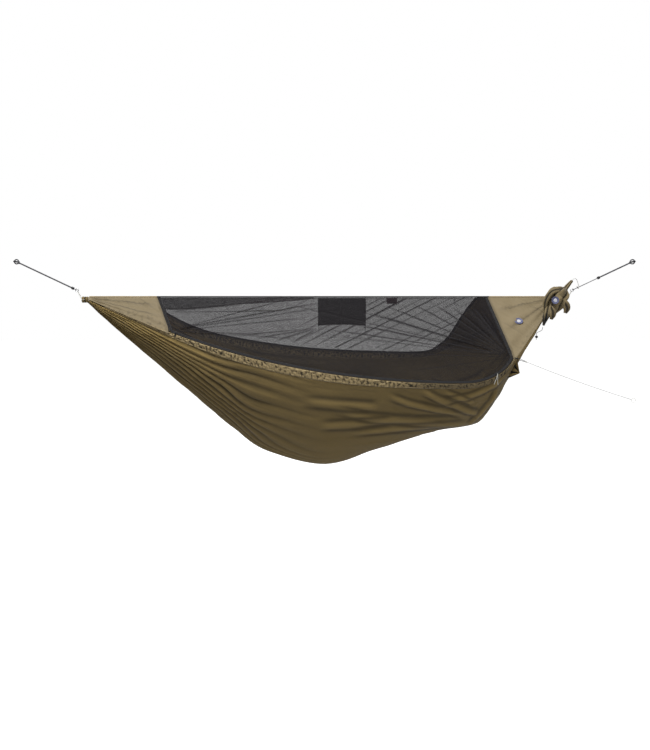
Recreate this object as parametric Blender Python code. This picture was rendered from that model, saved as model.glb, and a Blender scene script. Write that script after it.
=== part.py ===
"""Camping hammock: a gathered-end bed with a zipped insect net, hung between two toggles.

Metres, +Z up, +X along the ridgeline towards the foot end; the zipped entrance faces -Y.
The origin is the middle of the straight line between the two toggles that hold the hammock.
"""

import math

import bmesh
import bpy
from mathutils import Matrix, Vector

for old in list(bpy.data.objects):
    bpy.data.objects.remove(old, do_unlink=True)

# Hang: toggles, linking rings and ridge seam
HANG_HALF = 1.736          # middle of the hang to each toggle
RIDGE_Z = -0.196           # ridge seam below the toggles
RING_X = 1.398             # middle of the hang to each linking ring
RING_LIFT = 0.036          # linking ring above the ridge seam
SLOPE = math.radians(45)   # the two net planes fall away from the ridge seam at this angle

# Sheet thicknesses, with the gap that keeps sewn neighbours apart
NET_THICK = 0.0016
FABRIC_THICK = 0.003
TAPE_THICK = 0.0016
GAP = 0.0004

# Zip: half of the coil's channel, and the outer edge of each woven tape
CHANNEL = 0.0012
TAPE_EDGE = 0.0085
FAR_BINDING_EDGE = 0.0055
BED_EDGE = 0.0120          # the bed starts this far outside the zip's centre line
SEAM_RADIUS = 0.0035
SEAM_CLEAR = 0.0046        # sheets start this far down from the seam's axis

# Gathers at the two ends of the bed
HEAD_END = -1.335
FOOT_END = 1.300
GATHER_DROP = 0.017        # gather's axis below the ridge seam
GATHER_RADIUS = 0.018

# Net outlines on their planes: (x, distance down the slope)
HEAD_CORNER = Vector((-0.840, 0.268))
HEM_MIDDLE = Vector((-0.080, 0.545))
HEM_LOW = Vector((0.730, 0.637))
FOOT_CORNER = Vector((1.002, 0.460))
DOOR_HEAD_TOP = Vector((-0.935, SEAM_CLEAR))
DOOR_FOOT_TOP = Vector((0.912, SEAM_CLEAR))
GATHER_DOWN = 0.012
FAR_HEAD_TOP = Vector((-0.935, SEAM_CLEAR))
FAR_HEM = ((-0.905, 0.130), (-0.784, 0.226), (-0.616, 0.307), (-0.325, 0.385), (-0.027, 0.433),
           (0.300, 0.455), (0.560, 0.460), (0.644, 0.438))
FAR_FOOT_EDGE = ((0.644, 0.438), (0.724, 0.335), (0.788, 0.156), (0.852, SEAM_CLEAR))

# Bed stations: x of the near edge, the far edge and the keel, and the keel's depth under the seam
STATIONS = (
    (-1.335, -1.335, -1.335, 0.036),
    (-1.100, -1.120, -1.100, 0.240),
    (-0.845, -0.900, -0.800, 0.497),
    (-0.620, -0.660, -0.510, 0.745),
    (-0.400, -0.420, -0.320, 0.873),
    (-0.050, -0.050, 0.000, 0.949),
    (0.300, 0.260, 0.290, 0.858),
    (0.600, 0.500, 0.550, 0.770),
    (0.820, 0.680, 0.740, 0.728),
    (0.930, 0.790, 0.850, 0.711),
    (1.002, 0.880, 0.950, 0.560),
    (1.110, 1.040, 1.085, 0.345),
    (1.215, 1.180, 1.200, 0.155),
    (1.300, 1.300, 1.300, 0.036),
)
BED_POWER = 1.4            # 1 is a half ellipse, 2 a parabola
CASING_TURN = 0.16         # turn, in radians, that each edge casing takes
CASING_SPAN = (0.5, 12.5)  # first and last station of the casings
SPLITS = (0.0, 4.0, 8.0, 13.0)
SPLIT_GAP = 0.004          # stations left open between two lengths of the bed
SEAM_TURN = 0.018          # turn left open between the bed and its casings

# Suspension
EYE_RADIUS = 0.012         # eye splice round the toggle
EYE_TUBE = 0.0034
ROPE_RADIUS = 0.004
STRAND_RADIUS = 0.002
STOPPER_HALF = 0.007
HEAD_STOPPER = 0.026       # from the ring, along the sling
FOOT_STOPPER = 0.164
RING_MAJOR = 0.008
RING_MINOR = 0.0021

# Ridgeline cord under the seam, and what hangs on it
RIDGE_CORD_DROP = 0.012
ORGANIZER_X = 0.099
ORGANIZER_WIDTH = 0.271
ORGANIZER_DROP = 0.152
ORGANIZER_WEB = 0.0024
POCKET_DEPTH = 0.018
POCKET_HEIGHT = 0.118
POCKET_WALL = 0.0018
POUCH_X = 0.381
HOOK_X = 0.732

# Zip sliders: half length, the bridge's eye in the slider's frame, and where each is parked
SLIDER_HALF = 0.0065
PULL_PIVOT = Vector((0, 0.0082, 0.0130))
HEAD_SLIDER_IN = 0.035     # along the hem from the head corner
FOOT_SLIDER_IN = 0.186     # along the hem from its lowest point

# Tie-outs, guyline, patches and stuff sack
TIE_DIRECTION = Vector((0.42, -0.90, -0.10)).normalized()
FAR_TIE_DIRECTION = Vector((0.35, 0.93, -0.10)).normalized()
TIE_REACH = 0.0165
GUY_END = Vector((1.540, -0.650, -0.718))
PATCH_RADIUS = 0.023
PATCH_AT = (1.072, 0.196)
EAR_STATION = 10.45
EAR_TURN = 0.62
SACK_CENTRE = Vector((1.270, -0.128, RIDGE_Z - 0.036))
LOCK_CENTRE = Vector((1.1655, -0.165, RIDGE_Z - 0.222))
UP_Y = Vector((0, 1, 0))
UP_Z = Vector((0, 0, 1))

FINISHES = {
    "coyote_fabric": ((0.24, 0.19, 0.10), 0.72, 0.0),
    "casing_fabric": ((0.27, 0.22, 0.12), 0.75, 0.0),
    "insect_net": ((0.02, 0.02, 0.022), 0.8, 0.0),
    "black_tape": ((0.012, 0.012, 0.015), 0.7, 0.0),
    "grey_rope": ((0.09, 0.09, 0.10), 0.8, 0.0),
    "white_cord": ((0.72, 0.72, 0.68), 0.6, 0.0),
    "black_cord": ((0.015, 0.015, 0.015), 0.7, 0.0),
    "aluminium": ((0.70, 0.71, 0.72), 0.3, 1.0),
    "black_plastic": ((0.02, 0.02, 0.02), 0.4, 0.0),
    "dark_metal": ((0.05, 0.05, 0.055), 0.4, 1.0),
    "pocket_fabric": ((0.02, 0.018, 0.022), 0.75, 0.0),
    "maroon_fabric": ((0.06, 0.03, 0.035), 0.75, 0.0),
    "patch_rubber": ((0.16, 0.17, 0.35), 0.5, 0.0),
}


def finish(name):
    """The Principled material of one finish, made the first time it is asked for."""
    material = bpy.data.materials.get(name)
    if material is None:
        colour, roughness, metallic = FINISHES[name]
        material = bpy.data.materials.new(name)
        material.use_nodes = True
        shader = material.node_tree.nodes["Principled BSDF"]
        shader.inputs["Base Color"].default_value = (*colour, 1.0)
        shader.inputs["Roughness"].default_value = roughness
        shader.inputs["Metallic"].default_value = metallic
        material.diffuse_color = (*colour, 1.0)
    return material


def add(name, bm, finish_name, place=Matrix.Identity(4), smooth=False):
    """Close a bmesh into a named object whose origin sits at place."""
    bmesh.ops.recalc_face_normals(bm, faces=bm.faces)
    mesh = bpy.data.meshes.new(name)
    bm.to_mesh(mesh)
    bm.free()
    if smooth:
        mesh.shade_smooth()
        mesh.set_sharp_from_angle(angle=math.radians(40))
    mesh.materials.append(finish(finish_name))
    piece = bpy.data.objects.new(name, mesh)
    piece.matrix_world = place
    bpy.context.collection.objects.link(piece)
    return piece


def frame_along(origin, direction, side=Vector((0, 1, 0))):
    """A matrix at origin whose Z runs along direction and whose Y stays near side."""
    z = direction.normalized()
    x = side.cross(z).normalized()
    y = z.cross(x)
    return Matrix.Translation(origin) @ Matrix((x, y, z)).transposed().to_4x4()


# Plane outlines

def on_canopy(side, x, down, out=0.0):
    """World point on a net plane: down its slope from the ridge seam, out along its outer normal."""
    y = down * math.sin(SLOPE) + out * math.cos(SLOPE)
    z = RIDGE_Z - down * math.cos(SLOPE) + out * math.sin(SLOPE)
    return Vector((x, side * y, z))


def circle_through(a, b, c):
    """Centre and radius of the circle through three points of a plane."""
    ab, ac = b - a, c - a
    cross = 2 * (ab.x * ac.y - ab.y * ac.x)
    centre = a + Vector((ac.y * ab.length_squared - ab.y * ac.length_squared,
                         ab.x * ac.length_squared - ac.x * ab.length_squared)) / cross
    return centre, (a - centre).length


def arc(centre, start, end, steps):
    """Points on the circle about centre from start to end, both included."""
    radius = (start - centre).length
    first = math.atan2(start.y - centre.y, start.x - centre.x)
    last = math.atan2(end.y - centre.y, end.x - centre.x)
    angles = [first + (last - first) * i / steps for i in range(steps + 1)]
    return [centre + radius * Vector((math.cos(t), math.sin(t))) for t in angles]


def catmull(rows, at):
    """Value of a smooth curve through rows, tuples of numbers, at a fractional row index."""
    i = min(int(at), len(rows) - 2)
    f = at - i
    a, b, c, d = (rows[min(max(j, 0), len(rows) - 1)] for j in (i - 1, i, i + 1, i + 2))
    weights = (-f + 2 * f * f - f ** 3, 2 - 5 * f * f + 3 * f ** 3,
               f + 4 * f * f - 3 * f ** 3, -f * f + f ** 3)
    return tuple(sum(w * v for w, v in zip(weights, column)) / 2 for column in zip(a, b, c, d))


def smooth(rows, steps):
    """The curve through rows with a number of steps between neighbours."""
    count = (len(rows) - 1) * steps
    return [Vector(catmull(rows, i / steps)) for i in range(count + 1)]


def offset(path, distance):
    """A path moved sideways by distance, to the left of its travel, with mitred corners."""
    moved = []
    for i, point in enumerate(path):
        before = (point - path[i - 1]).normalized() if i else None
        after = (path[i + 1] - point).normalized() if i + 1 < len(path) else None
        one, two = before or after, after or before
        left = Vector((-one.y, one.x))
        mitre = (left + Vector((-two.y, two.x))).normalized()
        moved.append(point + mitre * distance / mitre.dot(left))
    return moved


def level_ends(path):
    """A path whose ends are slid along their own stretches to the seam clearance."""
    moved = list(path)
    for end, inner in ((0, 1), (-1, -2)):
        run = moved[inner] - moved[end]
        if moved[end].y < 2 * SEAM_CLEAR:
            moved[end] = moved[end] + run * (SEAM_CLEAR - moved[end].y) / run.y
    return moved


def at_x(path, x):
    """Point of a path that runs towards +X where it passes x."""
    for a, b in zip(path, path[1:]):
        if x <= b.x:
            return a.lerp(b, (x - a.x) / (b.x - a.x))
    return path[-1]


LONG_CENTRE, LONG_RADIUS = circle_through(HEAD_CORNER, HEM_MIDDLE, HEM_LOW)
to_corner = FOOT_CORNER - HEM_LOW
hem_normal = (HEM_LOW - LONG_CENTRE).normalized()
SHORT_RADIUS = -to_corner.length_squared / (2 * to_corner.dot(hem_normal))
SHORT_CENTRE = HEM_LOW - hem_normal * SHORT_RADIUS
near_hem = (arc(LONG_CENTRE, HEAD_CORNER, HEM_LOW, 24)
            + arc(SHORT_CENTRE, HEM_LOW, FOOT_CORNER, 18)[1:])
far_hem = smooth(FAR_HEM, 4)
far_edge = smooth(FAR_FOOT_EDGE, 3)
head_tip = Vector((HEAD_END, GATHER_DOWN))
foot_tip = Vector((FOOT_END, GATHER_DOWN))
near_border = [DOOR_HEAD_TOP] + near_hem + [DOOR_FOOT_TOP]
far_border = [FAR_HEAD_TOP] + far_hem + far_edge[1:]
near_edge = offset([head_tip] + near_hem + [foot_tip], BED_EDGE)
far_edge_line = offset([head_tip] + far_hem + [foot_tip], BED_EDGE)


def slab(bm, faces, thickness, direction):
    """Give flat faces a thickness along direction, which makes them a closed solid."""
    grown = bmesh.ops.extrude_face_region(bm, geom=faces)["geom"]
    verts = [v for v in grown if isinstance(v, bmesh.types.BMVert)]
    bmesh.ops.translate(bm, vec=direction * thickness, verts=verts)


def panel(name, side, outline, thickness, finish_name, out=0.0):
    """A flat panel on a net plane, from its outline."""
    bm = bmesh.new()
    verts = [bm.verts.new(on_canopy(side, p.x, p.y, out - thickness / 2)) for p in outline]
    face = bm.faces.new(verts)
    normal = on_canopy(side, 0, 0, 1) - on_canopy(side, 0, 0)
    slab(bm, [face], thickness, normal)
    return add(name, bm, finish_name)


def band(name, side, path, inner, outer, thickness, finish_name):
    """A flat ribbon that follows a path on a net plane, between two offsets of the path."""
    bm = bmesh.new()
    rails = [[bm.verts.new(on_canopy(side, p.x, p.y, -thickness / 2))
              for p in level_ends(offset(path, d))] for d in (inner, outer)]
    faces = [bm.faces.new((rails[0][i], rails[0][i + 1], rails[1][i + 1], rails[1][i]))
             for i in range(len(path) - 1)]
    normal = on_canopy(side, 0, 0, 1) - on_canopy(side, 0, 0)
    slab(bm, faces, thickness, normal)
    return add(name, bm, finish_name)


# Bed

def bed_point(station, turn):
    """Point of the bed: station along its length, turn 0 at the near edge to pi at the far edge."""
    near_x, far_x, keel_x, depth = catmull(STATIONS, station)
    near = at_x(near_edge, near_x)
    far = at_x(far_edge_line, far_x)
    near = on_canopy(-1, near.x, near.y)
    far = on_canopy(1, far.x, far.y)
    keel = Vector((keel_x, 0, RIDGE_Z - depth))
    middle = (near + far) / 2
    edge = near if turn < math.pi / 2 else far
    return (middle + (edge - middle) * abs(math.cos(turn))
            + (keel - middle) * math.sin(turn) ** BED_POWER)


def bed_sheet(name, first, last, start, end, columns, finish_name):
    """A stretch of the bed between two stations and two turns, thickened about its surface."""
    fine_from = 7
    steps = ([i / 2 for i in range(2 * fine_from)]
             + [fine_from + i / 4 for i in range(4 * (len(STATIONS) - fine_from))])
    between = [station for station in steps if first + 0.1 < station < last - 0.1]
    bm = bmesh.new()
    grid = [[bm.verts.new(bed_point(station, start + (end - start) * j / columns))
             for j in range(columns + 1)] for station in (first, *between, last)]
    for a, b in zip(grid, grid[1:]):
        for j in range(columns):
            bm.faces.new((a[j], a[j + 1], b[j + 1], b[j]))
    piece = add(name, bm, finish_name, smooth=True)
    wall = piece.modifiers.new("cloth_thickness", "SOLIDIFY")
    wall.thickness = FABRIC_THICK
    wall.offset = 0
    return piece


def make_bed():
    """The bed in three lengths, and the ruched elastic casing along each long edge."""
    edge = CASING_TURN + SEAM_TURN
    names = ("bed_head", "bed_seat", "bed_foot")
    for name, first, last in zip(names, SPLITS, SPLITS[1:]):
        start = first + (SPLIT_GAP if first else 0)
        bed_sheet(name, start, last, edge, math.pi - edge, 12, "coyote_fabric")
    for side, start in (("near", 0.0), ("far", math.pi - CASING_TURN)):
        bed_sheet(side + "_edge_casing", *CASING_SPAN, start, start + CASING_TURN, 2,
                  "casing_fabric")


# Turned and bent pieces

def turned(name, profile, place, finish_name, steps=14):
    """A solid of revolution about place's Z, from a profile of (radius, height) points.

    The profile closes on the axis where its ends lie on it, and on itself otherwise.
    """
    bm = bmesh.new()
    verts = [bm.verts.new((r, 0, h)) for r, h in profile]
    edges = [bm.edges.new(pair) for pair in zip(verts, verts[1:])]
    if profile[0][0] > 0:
        edges.append(bm.edges.new((verts[-1], verts[0])))
    bmesh.ops.spin(bm, geom=verts + edges, cent=(0, 0, 0), axis=(0, 0, 1), angle=math.tau,
                   steps=steps, use_merge=True)
    bmesh.ops.remove_doubles(bm, verts=bm.verts, dist=1e-6)
    return add(name, bm, finish_name, place, smooth=True)


def join(piece, tool, operation="UNION"):
    """Join a helper solid to a piece, or cut it away, and keep the helper out of the model."""
    tool.hide_render = True
    tool.display_type = "WIRE"
    step = piece.modifiers.new(operation.lower() + "_" + tool.name, "BOOLEAN")
    step.operation = operation
    step.object = tool


def ring(name, major, minor, place, finish_name, steps=16, sides=8):
    """A round ring about place's Z."""
    turns = [math.tau * i / sides for i in range(sides)]
    profile = [(major + minor * math.cos(t), minor * math.sin(t)) for t in turns]
    return turned(name, profile, place, finish_name, steps)


def rod(name, radius, length, place, finish_name, steps=14, chamfer=0.001):
    """A round bar centred on place, along its Z, with chamfered ends."""
    half = length / 2
    profile = [(0, -half), (radius - chamfer, -half), (radius, chamfer - half),
               (radius, half - chamfer), (radius - chamfer, half), (0, half)]
    return turned(name, profile, place, finish_name, steps)


def sleeve(name, inner, outer, length, place, finish_name, chamfer=0.0012):
    """A collar centred on place, along its Z."""
    half = length / 2
    profile = [(inner, -half), (outer - chamfer, -half), (outer, chamfer - half),
               (outer, half - chamfer), (outer - chamfer, half), (inner, half)]
    return turned(name, profile, place, finish_name)


def cord(name, points, radius, finish_name, sides=2):
    """A round cord along a list of points."""
    curve = bpy.data.curves.new(name, "CURVE")
    curve.dimensions = "3D"
    curve.bevel_depth = radius
    curve.bevel_resolution = sides
    curve.use_fill_caps = True
    spline = curve.splines.new("POLY")
    spline.points.add(len(points) - 1)
    for control, point in zip(spline.points, points):
        control.co = (*point, 1)
    curve.materials.append(finish(finish_name))
    piece = bpy.data.objects.new(name, curve)
    bpy.context.collection.objects.link(piece)
    return piece


# Suspension, the same at both ends but for where the stopper sits

def make_suspension(end, sign, stopper_at):
    """Toggle, spliced sling, stopper, ring, white end loop and gather at one end of the hammock."""
    toggle = Vector((sign * HANG_HALF, 0, 0))
    link = Vector((sign * RING_X, 0, RIDGE_Z + RING_LIFT))
    run = toggle - link
    line = run.normalized()
    rod("toggle_" + end, 0.005, 0.090, frame_along(toggle, UP_Y, UP_Z), "dark_metal")
    sling = ring("sling_rope_" + end, EYE_RADIUS, EYE_TUBE, frame_along(toggle, UP_Y, UP_Z),
                 "grey_rope", steps=18)
    rope_start = stopper_at - STOPPER_HALF + 0.0015
    rope_end = run.length - EYE_RADIUS
    rope = rod("sling_bury_" + end, ROPE_RADIUS, rope_end - rope_start,
               frame_along(link + line * (rope_start + rope_end) / 2, line), "grey_rope")
    join(sling, rope)
    sleeve("sling_stopper_" + end, ROPE_RADIUS + 0.0005, 0.0082, 2 * STOPPER_HALF,
           frame_along(link + line * stopper_at, line), "black_plastic")
    # Two thinner strands leave the rope's end, pass through the ring and come back
    foot = rope_start - GAP
    narrow_from = 0.0175
    narrow = STRAND_RADIUS + 0.00015
    sides = []
    for turn in (1, -1):
        spread = [link + line * 0.0115 + UP_Y * turn * 0.0045,
                  link + line * 0.0155 + UP_Y * turn * 0.0032]
        tail = [link + line * (narrow_from + (foot - narrow_from) * i / 6) + UP_Y * turn * narrow
                for i in range(7)]
        sides.append(spread + tail)
    strands = list(reversed(sides[0])) + ring_bend(link, line, 0.0048, 0.0030) + sides[1]
    cord("sling_strands_" + end, strands, STRAND_RADIUS, "grey_rope")
    ring("linking_ring_" + end, RING_MAJOR, RING_MINOR, frame_along(link, UP_Y, UP_Z),
         "aluminium", steps=18)
    make_gather(end, sign, link)


def ring_bend(link, line, half_gap, reach):
    """A cord's bend through the linking ring, from its +Y side to its -Y side."""
    steps = 6
    turns = [math.pi * i / steps for i in range(1, steps)]
    return [link + line * (0.0062 - reach * math.sin(t)) + UP_Y * half_gap * math.cos(t)
            for t in turns]


def make_gather(end, sign, link):
    """The gathered cloth at one end, the hitch bound round it, and the white loop to the ring."""
    start = HEAD_END if sign < 0 else FOOT_END
    length = 0.034 if sign < 0 else 0.068
    away = Vector((sign, 0, 0))
    axis = Vector((start, 0, RIDGE_Z - GATHER_DROP)) + away * 0.0015
    waist = length - 0.019
    profile = [(0, 0), (GATHER_RADIUS, 0), (GATHER_RADIUS - 0.003, waist - 0.004),
               (GATHER_RADIUS - 0.003, waist + 0.004), (GATHER_RADIUS, length - 0.005),
               (GATHER_RADIUS - 0.003, length), (0, length)]
    turned("gather_" + end, profile, frame_along(axis, away), "coyote_fabric", steps=16)
    inner = GATHER_RADIUS - 0.003 + GAP
    sleeve("gather_binding_" + end, inner, inner + 0.0022, 0.006,
           frame_along(axis + away * waist, away), "black_cord", chamfer=0.0006)
    hold = axis + away * (waist + 0.001)
    side_off = GATHER_RADIUS + 0.0032
    past = axis + away * (length + 0.005) + UP_Z * 0.012
    neck = link - (link - past).normalized() * 0.0125
    half = [hold + UP_Y * side_off, axis + away * (length - 0.004) + UP_Y * side_off,
            past + UP_Y * 0.013, neck + UP_Y * 0.0046]
    half = smooth([tuple(p) for p in half], 3)
    bend = ring_bend(link, (neck - link).normalized(), 0.0044, 0.0026)
    mirror = [Vector((p.x, -p.y, p.z)) for p in reversed(half)]
    cord("end_loop_" + end, half + bend + mirror, 0.0013, "white_cord")


# Ridge, nets, end panels and zip

def make_ridge():
    """The sewn ridge seam, and the structural cord just below it that sets the sag."""
    seam_half = 1.330
    middle = Vector((0, 0, RIDGE_Z))
    rod("ridge_seam", SEAM_RADIUS, 2 * seam_half - 0.034,
        frame_along(middle + Vector((-0.0165, 0, 0)), Vector((1, 0, 0))), "black_tape", steps=8)
    cord_half = (FOOT_END - HEAD_END) / 2 - 0.002
    rod("ridgeline_cord", 0.0015, 2 * cord_half,
        frame_along(Vector(((FOOT_END + HEAD_END) / 2, 0, RIDGE_Z - RIDGE_CORD_DROP)),
                    Vector((1, 0, 0))), "black_cord", steps=8, chamfer=0.0004)


def end_panel(name, side, corner_path, tip, towards):
    """A fabric triangle between the net's edge band and the gather, towards one end."""
    edge = level_ends(offset(corner_path, TAPE_EDGE + GAP))
    hem = [tip, corner_path[-1]] if towards < 0 else [corner_path[0], tip]
    low = at_x(offset(hem, TAPE_EDGE), tip.x)
    if towards > 0:
        edge = edge[::-1]
    outline = [Vector((tip.x, SEAM_CLEAR))] + edge + [low]
    return panel(name, side, outline, FABRIC_THICK / 2, "coyote_fabric")


def make_canopy():
    """Both net planes: the door with its tape, the fixed tapes, the far net and four end panels."""
    door_net = level_ends(offset(near_border, -(TAPE_EDGE + GAP)))
    panel("door_net", -1, door_net, NET_THICK, "insect_net")
    band("door_zip_tape", -1, near_border, -TAPE_EDGE, -CHANNEL, TAPE_THICK, "black_tape")
    last = len(near_border) - 1
    joint = 0.003
    hem = near_border[1:last]
    short = [hem[0].lerp(hem[1], joint / (hem[1] - hem[0]).length)] + hem[1:-1]
    short.append(hem[-1].lerp(hem[-2], joint / (hem[-2] - hem[-1]).length))
    band("hem_zip_tape", -1, short, CHANNEL, TAPE_EDGE, TAPE_THICK, "black_tape")
    band("head_zip_tape", -1, near_border[:2], CHANNEL, TAPE_EDGE, TAPE_THICK, "black_tape")
    band("foot_zip_tape", -1, near_border[-2:], CHANNEL, TAPE_EDGE, TAPE_THICK, "black_tape")
    far_net = level_ends(offset(far_border, -(CHANNEL + GAP)))
    panel("far_net", 1, far_net, NET_THICK, "insect_net")
    band("far_net_binding", 1, far_border, -CHANNEL, FAR_BINDING_EDGE, TAPE_THICK, "black_tape")
    end_panel("near_head_panel", -1, near_border[:2], head_tip, -1)
    end_panel("near_foot_panel", -1, near_border[-2:], foot_tip, 1)
    end_panel("far_head_panel", 1, far_border[:2], head_tip, -1)
    end_panel("far_foot_panel", 1, far_border[-len(far_edge):], foot_tip, 1)


def slider_frame(centre, radius, angle):
    """Frame on the zip: Y outward across the hem, Z out of the net plane, X along the zip."""
    direction = Vector((math.cos(angle), math.sin(angle)))
    point = centre + direction * radius
    origin = on_canopy(-1, point.x, point.y)
    across = on_canopy(-1, point.x + direction.x, point.y + direction.y) - origin
    normal = on_canopy(-1, point.x, point.y, 1) - origin
    along = across.cross(normal)
    return Matrix.Translation(origin) @ Matrix((along, across, normal)).transposed().to_4x4()


def make_slider(name, place):
    """A C-shaped slider clipped over the fixed tape, its neck in the channel, with a bridge."""
    out, over, neck = TAPE_THICK / 2 + 0.0003, 0.0090, CHANNEL - 0.0005
    profile = [(-neck, -out - 0.0016), (over, -out - 0.0016), (over, -out), (neck, -out),
               (neck, out), (over, out), (over, out + 0.0018), (0.0070, out + 0.0022),
               (0.0064, 0.0118), (0.0030, 0.0118), (0.0026, out + 0.0022), (-neck, out + 0.0018)]
    bm = bmesh.new()
    face = bm.faces.new([bm.verts.new((-SLIDER_HALF, y, z)) for y, z in profile])
    slab(bm, [face], 2 * SLIDER_HALF, Vector((1, 0, 0)))
    return add(name, bm, "black_plastic", place)


def hanging_pull(name, slider, outline, thickness, finish_name):
    """A flat pull that hangs plumb from a slider's bridge, flat against the hem's heading."""
    heading = math.atan(slider[1][0] / slider[0][0])
    place = Matrix.Translation(slider @ PULL_PIVOT) @ Matrix.Rotation(heading, 4, "Z")
    bm = bmesh.new()
    face = bm.faces.new([bm.verts.new((x, -thickness / 2, z)) for x, z in outline])
    slab(bm, [face], thickness, Vector((0, 1, 0)))
    return add(name, bm, finish_name, place)


def make_zip():
    """Two sliders: one parked at the head end of the long arc, one on the short arc."""
    long_start = math.atan2(HEAD_CORNER.y - LONG_CENTRE.y, HEAD_CORNER.x - LONG_CENTRE.x)
    head_angle = long_start - HEAD_SLIDER_IN / LONG_RADIUS
    head = slider_frame(LONG_CENTRE, LONG_RADIUS, head_angle)
    make_slider("zip_slider_head", head)
    tab = [(-0.003, 0), (0.003, 0), (0.0035, -0.024), (-0.0035, -0.024)]
    hanging_pull("zip_pull_head", head, tab, 0.0014, "black_tape")
    low = math.atan2(HEM_LOW.y - SHORT_CENTRE.y, HEM_LOW.x - SHORT_CENTRE.x)
    foot_angle = low - FOOT_SLIDER_IN / SHORT_RADIUS
    foot = slider_frame(SHORT_CENTRE, SHORT_RADIUS, foot_angle)
    make_slider("zip_slider_foot", foot)
    tails = [(-0.0028, 0), (0.0028, 0), (0.0045, -0.058), (0.0005, -0.059), (-0.0005, -0.016),
             (-0.0205, -0.056), (-0.0240, -0.054)]
    hanging_pull("zip_pull_foot", foot, tails, 0.0014, "white_cord")


# Things that hang on the structural ridgeline cord

def keyhole(name, x, width, drop, web, finish_name):
    """A sleeve round the ridgeline cord with a flat web below it, cut as one outline."""
    outer, inner = 0.0052, 0.0026
    curve = bpy.data.curves.new(name, "CURVE")
    curve.dimensions = "2D"
    curve.fill_mode = "BOTH"
    curve.extrude = width / 2
    low = math.asin(web / 2 / outer)
    ring_steps = 14
    outline = [(outer * math.sin(t), -outer * math.cos(t))
               for t in (low + (math.tau - 2 * low) * i / ring_steps for i in range(ring_steps + 1))]
    outline += [(-web / 2, -drop), (web / 2, -drop)]
    hole = [(inner * math.cos(math.tau * i / 10), inner * math.sin(math.tau * i / 10))
            for i in range(10)]
    for loop in (outline, hole):
        spline = curve.splines.new("POLY")
        spline.points.add(len(loop) - 1)
        for control, (y, z) in zip(spline.points, loop):
            control.co = (y, z, 0, 1)
        spline.use_cyclic_u = True
    curve.materials.append(finish(finish_name))
    piece = bpy.data.objects.new(name, curve)
    piece.matrix_world = (Matrix.Translation((x, 0, RIDGE_Z - RIDGE_CORD_DROP))
                          @ Matrix(((0, 0, 1), (1, 0, 0), (0, 1, 0))).to_4x4())
    bpy.context.collection.objects.link(piece)
    return piece


def make_organizer():
    """Ridgeline organizer: a sleeve and back, an open-topped pocket on it, and two corner cords."""
    keyhole("organizer_back", ORGANIZER_X, ORGANIZER_WIDTH, ORGANIZER_DROP, ORGANIZER_WEB,
            "pocket_fabric")
    width = ORGANIZER_WIDTH - 0.012
    base = RIDGE_Z - RIDGE_CORD_DROP - ORGANIZER_DROP + 0.002
    place = Vector((ORGANIZER_X, -ORGANIZER_WEB / 2 - GAP - POCKET_DEPTH / 2,
                    base + POCKET_HEIGHT / 2))
    bm = bmesh.new()
    bmesh.ops.create_cube(bm, size=1)
    bmesh.ops.scale(bm, vec=(width, POCKET_DEPTH, POCKET_HEIGHT), verts=bm.verts)
    bm.faces.ensure_lookup_table()
    top = [f for f in bm.faces if f.normal.z > 0.9]
    bmesh.ops.inset_region(bm, faces=top, thickness=POCKET_WALL, use_even_offset=True)
    bmesh.ops.translate(bm, vec=(0, 0, POCKET_WALL - POCKET_HEIGHT), verts=top[0].verts)
    add("organizer_pocket", bm, "pocket_fabric", Matrix.Translation(place))
    for end, sign in (("head", -1), ("foot", 1)):
        start = Vector((ORGANIZER_X + sign * (ORGANIZER_WIDTH / 2 - 0.004), 0,
                        RIDGE_Z - RIDGE_CORD_DROP - ORGANIZER_DROP - GAP))
        tail = [start, start + Vector((0.0005, 0, -0.012)), start + Vector((0.002, 0, -0.028)),
                start + Vector((0.005, 0, -0.045))]
        cord("organizer_cord_" + end, smooth([tuple(p) for p in tail], 4), 0.0011, "black_cord")


def make_ridge_items():
    """A small flat pouch and a plastic hook that hang on the ridgeline cord."""
    keyhole("ridge_pouch", POUCH_X, 0.060, 0.028, 0.004, "maroon_fabric")
    axis_z = RIDGE_Z - RIDGE_CORD_DROP
    steps = 12
    turns = [math.radians(150 - 300 * i / steps) for i in range(steps + 1)]
    eye = [Vector((HOOK_X, 0.0044 * math.sin(t), axis_z + 0.0044 * math.cos(t))) for t in turns]
    shank = [(0, 0.0018, -0.009), (0.001, 0.001, -0.020), (0.005, 0, -0.032),
             (0.013, 0, -0.038), (0.020, 0, -0.034), (0.021, 0, -0.026)]
    shank = smooth([(HOOK_X + x, y, axis_z + z) for x, y, z in shank], 3)
    cord("ridge_hook", list(reversed(shank)) + list(reversed(eye)), 0.0012, "black_plastic")


# Tie-outs, guyline, patches and corner ear

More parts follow.
